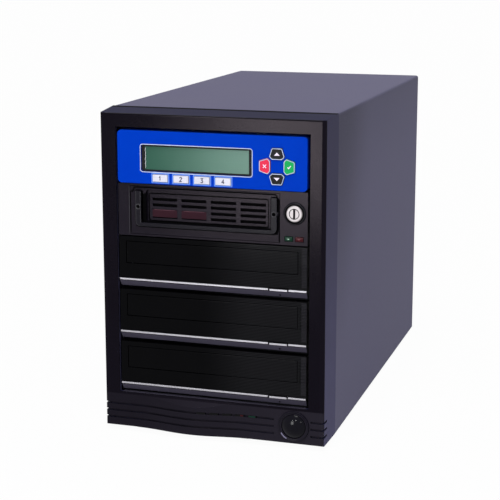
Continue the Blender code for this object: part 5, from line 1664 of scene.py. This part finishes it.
@dataclass(frozen=True)
class PanelSizes:
    """The printed and loose pieces of the control panel."""

    rim_width: float = 0.0006
    window_gap: float = 0.0003
    window_corner: float = 0.0015
    glass_gap: float = 0.00005
    glass_thickness: float = 0.0005
    glass_edge: float = 0.0001
    foil_width: float = 0.00028
    foil_wave: float = 0.00022
    foil_turns: int = 9
    foil_margin_share: float = 0.06
    frame_margin: float = 0.0009
    frame_corner: float = 0.0006
    key_gap: float = 0.0003
    key_corner: float = 0.0003
    pad_rim: float = 0.00055
    pad_inset: float = 0.00005
    pad_corner: float = 0.0012
    arrow_width_share: float = 0.34
    arrow_height_share: float = 0.25
    arrow_edge: float = 0.00004
    stroke: float = 0.00065
    digit_height: float = 0.0030
    digit_width: float = 0.0017
    mark_half: float = 0.0012


DIGITS: dict[int, Loop] = {
    1: [(0.2, 0.75), (0.55, 1.0), (0.55, 0.0)],
    2: [(0.0, 0.8), (0.25, 1.0), (0.8, 1.0), (1.0, 0.75), (0.0, 0.0), (1.0, 0.0)],
    3: [(0.0, 1.0), (1.0, 1.0), (0.5, 0.6), (1.0, 0.4), (0.8, 0.0), (0.0, 0.0)],
    4: [(0.75, 0.0), (0.75, 1.0), (0.0, 0.3), (1.1, 0.3)],
}


class ControlPanel(Assembly):
    """The blue panel with its display and its keys."""

    sizes = PanelSizes()

    def build(self) -> None:
        """Dresses the panel and adds its prints."""
        self.dress("control_panel", BLUE)
        self.dress("lcd_display", FACEFRAME, SHEET_EDGE)
        self.dress("panel_board", BOARD, NO_EDGE)
        self.face = Box.of("control_panel").y[0]
        self.display()
        for number in DIGITS:
            self.function_key(number)
        for quarter in Quarter:
            self.pad_key(quarter)

    def display(self) -> None:
        """The pale rim round the window, the glass in its recess and the foil at its left end."""
        sizes, module = self.sizes, self.nodes["lcd_display"]
        levels = [vertex.co.y for vertex in module.data.vertices]
        front = min(levels)
        floor = min(level for level in levels if level > front + SAME)
        x, z = (grown(span, sizes.window_gap) for span in spans_at(module, front))
        window = rounded(rectangle(x, z), sizes.window_corner)
        rim = offset(window, sizes.rim_width)
        self.add("lcd_rim", Form().band(rim, window, self.face - SKIN, self.face + SKIN), PALE_INK)
        x, z = spans_at(module, floor)
        finish = Display("display_glass", "display", (x[0], z[0]), (x[1], z[1]))
        glass = rectangle(grown(x, -sizes.glass_gap), grown(z, -sizes.glass_gap))
        face = floor - sizes.glass_thickness
        self.add("lcd_glass", Form().plate(glass, face, floor - LIFT, sizes.glass_edge), finish)
        path = []
        for turn in range(sizes.foil_turns + 1):
            side = sizes.foil_width * 2 + sizes.foil_wave * (1 if turn % 2 else -1)
            share = sizes.foil_margin_share + (1 - 2 * sizes.foil_margin_share) * turn / sizes.foil_turns
            path.append((x[0] + side, z[0] + (z[1] - z[0]) * share))
        self.add("lcd_foil", Form().ribbon(path, sizes.foil_width, face - SKIN, face + LIFT), STRIP)

    def function_key(self, number: int) -> None:
        """One white key with its printed frame and its digit.

        Args:
            number: The key's number, from the left.
        """
        node = f"function_key_{number}"
        self.dress(node, KEY_WHITE, SOFT_EDGE)
        cap = front_outline(self.nodes[node])
        sizes = self.sizes
        hole = rounded(offset(cap, sizes.key_gap), sizes.key_corner)
        frame = rounded(offset(cap, sizes.key_gap + sizes.frame_margin), sizes.frame_corner)
        band = Form().band(frame, hole, self.face - SKIN, self.face + SKIN)
        self.add(f"key_frame_{number}", band, FRAME_INK)
        box = Box.of(node)
        left, low = box.middle.x - sizes.digit_width / 2, box.middle.z - sizes.digit_height / 2
        path = [(left + u * sizes.digit_width, low + v * sizes.digit_height) for u, v in DIGITS[number]]
        digit = Form().ribbon(path, sizes.stroke, box.y[0] - SKIN, box.y[0] + SKIN)
        self.add(f"key_digit_{number}", digit, GREY_INK, f"function_{number}")

    def pad_key(self, quarter: Quarter) -> None:
        """One six-sided key with its pale border and its mark.

        Args:
            quarter: Which key.
        """
        self.dress(quarter.node, quarter.finish, SOFT_EDGE)
        cap = front_outline(self.nodes[quarter.node])
        sizes = self.sizes
        edge = offset(cap, -sizes.pad_inset)
        inner = rounded(offset(edge, -sizes.pad_rim), sizes.pad_corner - sizes.pad_rim / 2)
        front = Box.of(quarter.node).y[0]
        band = Form().band(rounded(edge, sizes.pad_corner), inner, front - SKIN, front + SKIN)
        self.add(f"{quarter.node}_rim", band, PALE_INK, quarter.body)
        mark = self.mark(quarter, Box.of(quarter.node).middle, front)
        self.add(f"{quarter.node}_mark", mark, WHITE_INK, quarter.body)

    def mark(self, quarter: Quarter, centre: Vector, front: float) -> Form:
        """The mark on a key: an arrowhead, a cross or a tick.

        Args:
            quarter: Which key.
            centre: The key's middle.
            front: Where the key's face is, in Y.

        Returns:
            The form.
        """
        half = self.sizes.mark_half
        if quarter in (Quarter.UP, Quarter.DOWN):
            box = Box.of(quarter.node)
            reach = (box.x[1] - box.x[0]) * self.sizes.arrow_width_share / 2
            rise = (box.z[1] - box.z[0]) * self.sizes.arrow_height_share / 2
            rise = rise if quarter is Quarter.UP else -rise
            arrow = [(-reach, -rise), (reach, -rise), (0.0, rise)]
            outline = [(centre.x + x, centre.z + z) for x, z in arrow]
            return Form().plate(outline, front - SKIN, front + SKIN, self.sizes.arrow_edge)
        paths = [[(-1.0, 0.0), (-0.3, -0.8), (1.0, 0.9)]]
        if quarter is Quarter.LEFT:
            paths = [[(-1.0, -1.0), (1.0, 1.0)], [(-1.0, 1.0), (1.0, -1.0)]]
        form = Form()
        for number, path in enumerate(paths):
            placed = [(centre.x + x * half, centre.z + z * half) for x, z in path]
            form.ribbon(placed, self.sizes.stroke, front - SKIN - number * LIFT, front + SKIN)
        return form


@dataclass(frozen=True)
class RackSizes:
    """The loose pieces on the hard-drive rack's face and on the drive inside."""

    screen_depth: float = 0.0062
    screen_thickness: float = 0.0006
    screen_edge: float = 0.0001
    screen_x: Span = (-0.0500, 0.0445)
    screen_z: Span = (0.1690, 0.1895)
    recess: float = 0.0030
    label_z: Span = (0.1721, 0.1778)
    cover_inset: float = 0.0030
    cover_corner: float = 0.0050
    cover_rise: float = 0.0005
    cover_edge: float = 0.0003
    screw_inset: float = 0.0040
    screw_radius: float = 0.0024
    hub: tuple[Span, ...] = (
        (0.0140, -0.0001), (0.0140, 0.0004), (0.0146, 0.0006),
        (0.0160, 0.0006), (0.0166, 0.0004), (0.0166, -0.0001),
    )
    hub_back: float = 0.0200
    lamp_edge: float = 0.0004
    lamp_inset: float = 0.00045
    lamp_corner: float = 0.0008
    lamp_rise: float = 0.0006
    lamp_slope: float = 0.0010
    glint_half: float = 0.00055
    glint_rise: float = 0.00022
    label_x: tuple[Span, ...] = ((-0.0477, -0.0280), (-0.0245, -0.0048))
    label_corner: float = 0.0006
    label_thickness: float = 0.00015
    label_edge: float = 0.00005
    groove_x: Span = (-0.0508, 0.0442)
    groove_z: Span = (0.1686, 0.1905)
    groove_corner: float = 0.0026
    groove_width: float = 0.0009
    well_x: Span = (-0.0553, -0.0518)
    well_z: Span = (0.1690, 0.1902)
    top_line: tuple[Span, ...] = ((-0.0600, 0.1947), (0.0478, 0.1945))
    hook_left: tuple[Span, ...] = (
        (-0.0600, 0.1947), (-0.0612, 0.1943), (-0.0616, 0.1926), (-0.0628, 0.1913), (-0.0642, 0.1911),
    )
    hook_right: tuple[Span, ...] = (
        (0.0478, 0.1945), (0.0494, 0.1946), (0.0506, 0.1934), (0.0512, 0.1914), (0.0526, 0.1906),
    )
    hook_width: float = 0.0011
    cap_radius: float = 0.0015
    cap_height: float = 0.0003
    cap_ring: float = 0.0006
    cap_shares: tuple[Span, ...] = ((1.0, 0.0), (1.0, 0.5), (0.8, 0.9), (0.1, 1.0))
    bead_shares: tuple[Span, ...] = ((0.0, -0.5), (0.0, 1.1), (0.5, 1.4), (1.0, 1.1), (1.0, -0.5))
    cap_sides: int = 20
    bead_sides: int = 28
    pivot_level: float = 0.1802
    track_width: float = 0.00095
    track_gap: float = 0.00018
    corner: float = 0.0030
    corner_least: float = 0.0008
    corner_steps: int = 5
    bar: float = 0.0027
    arm: float = 0.0042
    ring_inner: float = 0.0034
    ring_outer: float = 0.0040
    ring_sides: int = 40
    keyway_half: Span = (0.0008, 0.0033)
    glint: float = 0.00028
    seam: float = 0.0007
    label_glint_z: float = 0.1776
    shade_inner: float = 0.00625
    shade_outer: float = 0.00735


class DiskRack(Assembly):
    """The removable hard-drive rack with its lock."""

    sizes = RackSizes()

    def build(self) -> None:
        """Dresses the rack."""
        self.dress("rack_frame", RACK)
        self.dress("rack_carrier", RACK, SHEET_EDGE)
        self.dress("rack_handle", HANDLE, SOFT_EDGE)
        self.dress("hard_drive", DISK_METAL)
        self.dress("lock_collar", HANDLE, SHEET_EDGE)
        self.dress("key_cylinder", CHROME, SHEET_EDGE)
        self.carrier = Box.of("rack_carrier")
        self.grille()
        self.labels()
        self.seams()
        self.handle()
        self.lock()
        self.disk()
        self.lamp("rack_lamp_green", GREEN_LENS, GREEN_GLINT)
        self.lamp("rack_lamp_red", RED_LENS, RED_GLINT)

    def disk(self) -> None:
        """The hard drive's pressed cover with its screws and the cap over its motor."""
        sizes, box = self.sizes, Box.of("hard_drive")
        top = box.z[1]
        x, y = grown(box.x, -sizes.cover_inset), grown(box.y, -sizes.cover_inset)
        outline = rounded(rectangle(x, y), sizes.cover_corner)
        form = Form().plate(outline, top + sizes.cover_rise, top - SKIN, sizes.cover_edge, True)
        self.add("disk_cover", form, DISK_METAL, "carrier")
        face, middle = top + sizes.cover_rise, box.middle
        screws = Form()
        for across in grown(x, -sizes.screw_inset):
            for back in (y[0] + sizes.screw_inset, middle.y, y[1] - sizes.screw_inset):
                screws.screw(Vector((across, back, face)), UP, sizes.screw_radius)
        self.add("disk_screws", screws, SCREW, "carrier")
        hub = Vector((middle.x, middle.y + sizes.hub_back, face))
        form = Form().turned(sizes.hub, hub, UP, sizes.ring_sides, joined=True)
        self.add("disk_hub", form, DISK_METAL, "carrier")

    def lamp(self, node: str, lens: Finish, spark: Finish) -> None:
        """Dresses a lamp's lens, and adds its dome with a painted glint in it.

        Args:
            node: The lens's node.
            lens: The lens's finish.
            spark: The painted glint's finish.
        """
        sizes, box = self.sizes, Box.of(node)
        self.dress(node, lens, sizes.lamp_edge)
        inset = sizes.lamp_inset
        outline = rounded(rectangle(grown(box.x, -inset), grown(box.z, -inset)), sizes.lamp_corner)
        front = box.y[0] + LIFT
        self.add(f"{node}_dome", Form().dome(outline, front, sizes.lamp_rise, sizes.lamp_slope), lens)
        # painted highlight in the dome
        glint_dot = rectangle(about(box.middle.x, sizes.glint_half), about(box.middle.z, sizes.glint_rise))
        face = front - sizes.lamp_rise
        self.add(f"{node}_chip", Form().plate(glint_dot, face - LIFT, face + SKIN), spark)

    def grille(self) -> None:
        """The dark screen behind the grille, the painted shade in the groove round it, the painted shadow in
        the well beside the handle and the carrier's dark hooks.
        """
        sizes, front = self.sizes, self.carrier.y[0]
        screen, back = rectangle(sizes.screen_x, sizes.screen_z), front + sizes.screen_depth
        form = Form().plate(screen, back, back + sizes.screen_thickness, sizes.screen_edge)
        self.add("rack_screen", form, SCREEN, "carrier")
        wall = front + sizes.recess
        # painted shade in the groove round the grille
        outer = rounded(rectangle(sizes.groove_x, sizes.groove_z), sizes.groove_corner)
        x, z = (grown(span, -sizes.groove_width) for span in (sizes.groove_x, sizes.groove_z))
        inner = rounded(rectangle(x, z), sizes.groove_corner - sizes.groove_width)
        self.add("grille_groove_shadow", Form().band(outer, inner, wall - SKIN, wall + LIFT), SHADOW_AND_DARK_TRIM, "carrier")
        # painted shadow in the well beside the handle's left arm
        well = rectangle(sizes.well_x, sizes.well_z)
        self.add("handle_well_shadow", Form().plate(well, front - SKIN, front + LIFT, LIFT), SHADOW_AND_DARK_TRIM, "carrier")
        for name, path in (("line", sizes.top_line), ("left", sizes.hook_left), ("right", sizes.hook_right)):
            form = Form().ribbon(path, sizes.hook_width, front - SKIN, front + LIFT)
            self.add(f"carrier_hook_{name}", form, SHADOW_AND_DARK_TRIM, "carrier")

    def labels(self) -> None:
        """The two maroon labels on the grille's bars, each with a painted highlight along its top."""
        sizes = self.sizes
        wall = self.carrier.y[0] + sizes.recess
        face = wall - sizes.label_thickness
        for number, x in enumerate(sizes.label_x, 1):
            outline = rounded(rectangle(x, sizes.label_z), sizes.label_corner)
            form = Form().plate(outline, face, wall + LIFT, sizes.label_edge)
            self.add(f"rack_label_{number}", form, FLEX, "carrier")
            # painted highlight along the label's top edge
            path = [(across, sizes.label_glint_z) for across in grown(x, -sizes.label_corner * 3)]
            form = Form().ribbon(path, sizes.glint, face - LIFT, wall)
            self.add(f"label_glint_{number}", form, FLEX_GLINT, "carrier")

    def seams(self) -> None:
        """The dark seams down the carrier's sides, and the painted glint on the frame beside it."""
        sizes, body, front = self.sizes, self.carrier, self.carrier.y[0]
        inset = sizes.seam / 2 + LIFT
        for side, across in zip(("left", "right"), grown(body.x, -inset)):
            path = [(across, body.z[0] + inset), (across, sizes.hook_left[-1][1])]
            form = Form().ribbon(path, sizes.seam, front - LIFT, front + LIFT)
            self.add(f"carrier_seam_{side}", form, SHADOW_AND_DARK_TRIM, "carrier")
        post, face = body.x[0] - sizes.seam, Box.of("rack_frame").y[0]
        # painted highlight along the frame's post
        form = Form().ribbon([(post, level) for level in body.z], sizes.glint, face - LIFT, face + LIFT)
        self.add("frame_glint", form, BEAD_AND_GLINT)

    def handle(self) -> None:
        """The painted shadow in the grooves that frame the handle, the painted glints along it and the caps
        on its pivots.
        """
        sizes, cap = self.sizes, front_outline(self.nodes["rack_handle"])
        x, z = reach_of(p[0] for p in cap), reach_of(p[1] for p in cap)
        front, corner = self.carrier.y[0], sizes.corner_steps + 1
        reach = sizes.track_gap + sizes.track_width / 2
        sides = (("outer", reach, -reach), ("inner", -sizes.arm - reach, sizes.bar + reach))
        # painted shadow in the gaps round the handle, outside and inside
        for side, growth, rise in sides:
            across, low = grown(x, growth), z[0] + rise
            loop = [(across[0], z[1]), (across[0], low), (across[1], low), (across[1], z[1])]
            radius = max(sizes.corner + growth, sizes.corner_least)
            bends = rounded(loop, radius, sizes.corner_steps)[corner : 3 * corner]
            form = Form().ribbon([loop[0], *bends, loop[3]], sizes.track_width, front - SKIN, front + LIFT)
            self.add(f"handle_groove_{side}", form, SHADOW_AND_DARK_TRIM, "carrier")
        face = Box.of("rack_handle").y[0]
        left, low, top = x[0] + sizes.glint, z[0] + sizes.glint, z[1] - sizes.glint
        loop = [(left, top), (left, low), (x[1], low), (x[1], z[1])]
        bend = rounded(loop, sizes.corner, sizes.corner_steps)[corner : 2 * corner]
        inner = x[0] + sizes.arm - sizes.glint
        glints = {"outer": [loop[0], *bend], "inner": [(inner, top), (inner, z[0] + sizes.bar)]}
        # painted highlights along the edges of the handle's left arm and bend
        for side, path in glints.items():
            form = Form().ribbon(path, sizes.glint, face - LIFT, face + LIFT)
            self.add(f"handle_glint_{side}", form, BEAD_AND_GLINT, "carrier_handle")
        profile = [(r * sizes.cap_radius, h * sizes.cap_height) for r, h in sizes.cap_shares]
        bead = [(sizes.cap_radius + r * sizes.cap_ring, h * sizes.cap_height) for r, h in sizes.bead_shares]
        for side, across in zip(("left", "right"), grown(x, -sizes.arm / 2)):
            pivot = Vector((across, face, sizes.pivot_level))
            form = Form().turned(profile, pivot, AHEAD, sizes.cap_sides)
            self.add(f"handle_cap_{side}", form, SHADOW_AND_DARK_TRIM, "carrier_handle")
            form = Form().turned(bead, pivot, AHEAD, sizes.bead_sides, joined=True)
            self.add(f"handle_bead_{side}", form, BEAD_AND_GLINT, "carrier_handle")

    def lock(self) -> None:
        """The painted shade of the turned groove in the lock's face, the painted shade round it and the
        painted shade in its keyway.
        """
        sizes, barrel = self.sizes, Box.of("key_cylinder")
        centre = Vector((barrel.middle.x, barrel.y[0], barrel.middle.z))
        around = Vector((centre.x, Box.of("lock_collar").y[0], centre.z))
        ring, shade = hoop(sizes.ring_inner, sizes.ring_outer), hoop(sizes.shade_inner, sizes.shade_outer)
        # painted shade of the groove in the barrel's face
        form = Form().turned(ring, centre, AHEAD, sizes.ring_sides, joined=True)
        self.add("lock_ring_shadow", form, SHADOW_AND_DARK_TRIM, "key_barrel")
        self.add("lock_shade", Form().turned(shade, around, AHEAD, sizes.ring_sides, joined=True), SHADOW_AND_DARK_TRIM)
        # painted shade that fills the keyway
        slot = rectangle(about(centre.x, sizes.keyway_half[0]), about(centre.z, sizes.keyway_half[1]))
        form = Form().plate(slot, centre.y - SKIN, centre.y + SKIN)
        self.add("lock_keyway_shadow", form, SHADOW_AND_DARK_TRIM, "key_barrel")


@dataclass(frozen=True)
class DriveSizes:
    """The trim on an optical drive's face."""

    strip_height: float = 0.00135
    strip_proud: float = 0.00040
    strip_edge: float = 0.00015
    end_gap: float = 0.0002
    left_gap: float = 0.0012
    key_gap: float = 0.0005
    face_step: float = 0.0005
    chin_thickness: float = 0.00015
    chin_rise: float = 0.0003
    slope: float = 0.0040
    rib_left: float = 0.0700
    rib_pitch: float = 0.00115
    rib_height: float = 0.00045
    rib_proud: float = 0.00012
    rib_edge: float = 0.0001
    rib_count: int = 26
    pinhole_x: float = 0.0530
    pinhole_rise: float = 0.0032
    pinhole: tuple[Span, ...] = ((0.0007, -0.0002), (0.0007, 0.0003), (0.0001, 0.00031))
    pinhole_sides: int = 16


class OpticalDrive(Assembly):
    """One optical drive."""

    sizes = DriveSizes()

    def build(self, number: int) -> None:
        """Dresses one drive and adds its trim.

        Args:
            number: The drive's number, from the top.
        """
        self.dress(f"drive_shell_{number}", STEEL, SHEET_EDGE)
        for part in ("drive_bezel", "tray_door", "eject_button"):
            self.dress(f"{part}_{number}", DRIVE_GLOSS, SHEET_EDGE)
        self.dress(f"drive_tray_{number}", TRAY)
        self.dress(f"spindle_{number}", SPINDLE_METAL, SHEET_EDGE)
        self.number = number
        self.bezel = Box.of(f"drive_bezel_{number}")
        self.button = Box.of(f"eject_button_{number}")
        self.strips()
        self.chin()
        self.ribs()

    def strips(self) -> None:
        """The bright strip, in a stretch on either side of the button and one on it."""
        sizes, bezel, button = self.sizes, self.bezel, self.button
        key = front_outline(self.nodes[f"eject_button_{self.number}"])
        key_x = reach_of(p[0] for p in key)
        z = about(button.middle.z, sizes.strip_height / 2)
        stretches = {
            "left": ((bezel.x[0] + sizes.end_gap, key_x[0] - sizes.left_gap), bezel.y[0], "tower"),
            "key": (grown(key_x, -sizes.end_gap), button.y[0], f"eject_key_{self.number}"),
            "right": ((key_x[1] + sizes.key_gap, bezel.x[1] - sizes.end_gap), bezel.y[0], "tower"),
        }
        for side, (x, face, body) in stretches.items():
            form = Form().plate(rectangle(x, z), face - sizes.strip_proud, face + LIFT, sizes.strip_edge)
            self.add(f"drive_strip_{side}_{self.number}", form, STRIP, body)

    def chin(self) -> None:
        """The slate face on the slope under the strip, with a black disc that paints the shade in the
        pinhole for a jammed tray.
        """
        sizes, bezel = self.sizes, self.bezel
        low, high = bezel.z[0], self.button.z[0] + WELD
        face, x = bezel.y[0] + sizes.face_step, grown(bezel.x, -sizes.end_gap)
        rings = []
        ends = ((low + sizes.chin_rise, face + sizes.slope), (high - sizes.chin_rise, face + sizes.end_gap))
        for z, y in ends:
            near = y - sizes.chin_thickness
            rings.append([Vector((across, back, z)) for across, back in rectangle(x, (near, y))])
        self.add(f"drive_chin_{self.number}", Form().loft(rings), SLATE_AND_PAINTED_LEDGE)
        share = sizes.pinhole_rise / (high - low)
        centre = Vector((sizes.pinhole_x, face + sizes.slope * (1 - share), low + sizes.pinhole_rise))
        tilt = Vector((0.0, -(high - low), -sizes.slope)).normalized()
        # painted shade in the pinhole
        form = Form().turned(sizes.pinhole, centre, tilt, sizes.pinhole_sides)
        self.add(f"drive_pinhole_{self.number}", form, SHADOW_AND_DARK_TRIM)

    def ribs(self) -> None:
        """The fine ribs at the right end of the face."""
        sizes, bezel = self.sizes, self.bezel
        face = bezel.y[0] + sizes.face_step
        form = Form()
        top = bezel.z[1] - sizes.rib_pitch
        for rib in range(sizes.rib_count):
            z = about(top - rib * sizes.rib_pitch, sizes.rib_height / 2)
            x = sizes.rib_left, bezel.x[1] - sizes.end_gap
            form.plate(rectangle(x, z), face - sizes.rib_proud, face + LIFT, sizes.rib_edge)
        self.add(f"drive_ribs_{self.number}", form, RIB)


@dataclass(frozen=True)
class RearSizes:
    """The fixings and contacts at the back of the tower."""

    screw_radius: float = 0.0031
    supply_inset: float = 0.0060
    fan_hole_half: float = 0.03575
    panel_inset: float = 0.0060
    panel_levels: tuple[float, ...] = (0.022, 0.090, 0.150)
    pin_width: float = 0.0020
    pin_height: float = 0.0058
    pin_spread: float = 0.0070
    pin_rise: float = 0.0030
    pin_length: float = 0.0090
    pin_recess: float = 0.0030
    pin_edge: float = 0.0004
    mark_stroke: float = 0.0007
    mark_half: float = 0.0019
    mark_offset: float = 0.0048
    mark_depth: float = 0.0040
    mark_sides: int = 28


class Electronics(Assembly):
    """The controller, the power supply and the fans."""

    sizes = RearSizes()

    def build(self) -> None:
        """Dresses what is inside and at the rear."""
        self.dress("controller_bracket", STEEL, SHEET_EDGE)
        self.dress("controller_board", BOARD, NO_EDGE)
        self.dress("power_supply", STEEL)
        for node in ("psu_inlet", "psu_switch"):
            self.dress(node, SOCKET)
        for node in ("psu_fan_rotor", "rear_fan_rotor", "rear_fan_frame"):
            self.dress(node, FAN)
        self.supply_screws()
        self.panel_screws()
        self.inlet_pins()
        self.rocker_marks()

    def fix(self, name: str, x: float, z: float, y: float, finish: Finish) -> None:
        """One pan-head screw that faces the back."""
        form = Form().screw(Vector((x, y - LIFT, z)), BACK, self.sizes.screw_radius)
        self.add(name, form, finish)

    def supply_screws(self) -> None:
        """The four screws in the power supply's back."""
        supply = Box.of("power_supply")
        x, z = grown(supply.x, -self.sizes.supply_inset), grown(supply.z, -self.sizes.supply_inset)
        for number, (across, up) in enumerate(rectangle(x, z)):
            self.fix(f"supply_screw_{number + 1}", across, up, supply.y[1], SCREW)

    def panel_screws(self) -> None:
        """The screws round the case fan and down both edges of the rear panel."""
        sizes = self.sizes
        fan, panel = Box.of("rear_fan_frame").middle, Box.of("rear_panel")
        half = sizes.fan_hole_half
        for number, (across, up) in enumerate(rectangle(about(fan.x, half), about(fan.z, half))):
            self.fix(f"fan_screw_{number + 1}", across, up, panel.y[1], SCREW)
        edges = grown(panel.x, -sizes.panel_inset)
        for number, up in enumerate(sizes.panel_levels):
            for side, across in zip(("left", "right"), edges):
                self.fix(f"panel_screw_{side}_{number + 1}", across, up, panel.y[1], SCREW)

    def inlet_pins(self) -> None:
        """The three flat pins of the mains inlet."""
        sizes, inlet = self.sizes, Box.of("psu_inlet")
        centre, tip = inlet.middle, inlet.y[1] - sizes.pin_recess
        spread, rise = sizes.pin_spread, sizes.pin_rise
        for name, x, z in (("line", -spread, -rise), ("earth", 0.0, rise), ("neutral", spread, -rise)):
            across, up = about(centre.x + x, sizes.pin_width / 2), about(centre.z + z, sizes.pin_height / 2)
            form = Form().plate(rectangle(across, up), tip, tip - sizes.pin_length, sizes.pin_edge)
            self.add(f"inlet_pin_{name}", form, PIN_METAL)

    def rocker_marks(self) -> None:
        """The line and the ring that mark the rocker's two positions."""
        sizes, rocker = self.sizes, Box.of("psu_switch")
        centre, back = rocker.middle, rocker.y[1]
        x, z = about(centre.x, sizes.mark_stroke / 2), about(centre.z + sizes.mark_offset, sizes.mark_half)
        bar = Form().plate(rectangle(x, z), back + SKIN, back - sizes.mark_depth)
        self.add("rocker_line", bar, WHITE_INK, "rocker")
        ring = hoop(sizes.mark_half - sizes.mark_stroke, sizes.mark_half, sizes.mark_depth)
        place = Vector((centre.x, back, centre.z - sizes.mark_offset))
        form = Form().turned(ring, place, BACK, sizes.mark_sides, joined=True)
        self.add("rocker_ring", form, WHITE_INK, "rocker")


def main() -> None:
    """Builds the looks of the whole tower."""
    logging.basicConfig(level=logging.INFO, format="%(message)s")
    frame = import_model()
    Studio().build()
    crisp = crisp_group()
    nodes = frame["nodes"]
    Casing(nodes, crisp).build()
    ControlPanel(nodes, crisp).build()
    DiskRack(nodes, crisp).build()
    for number in range(1, 4):
        OpticalDrive(nodes, crisp).build(number)
    Electronics(nodes, crisp).build()


if __name__ == "__main__":
    main()
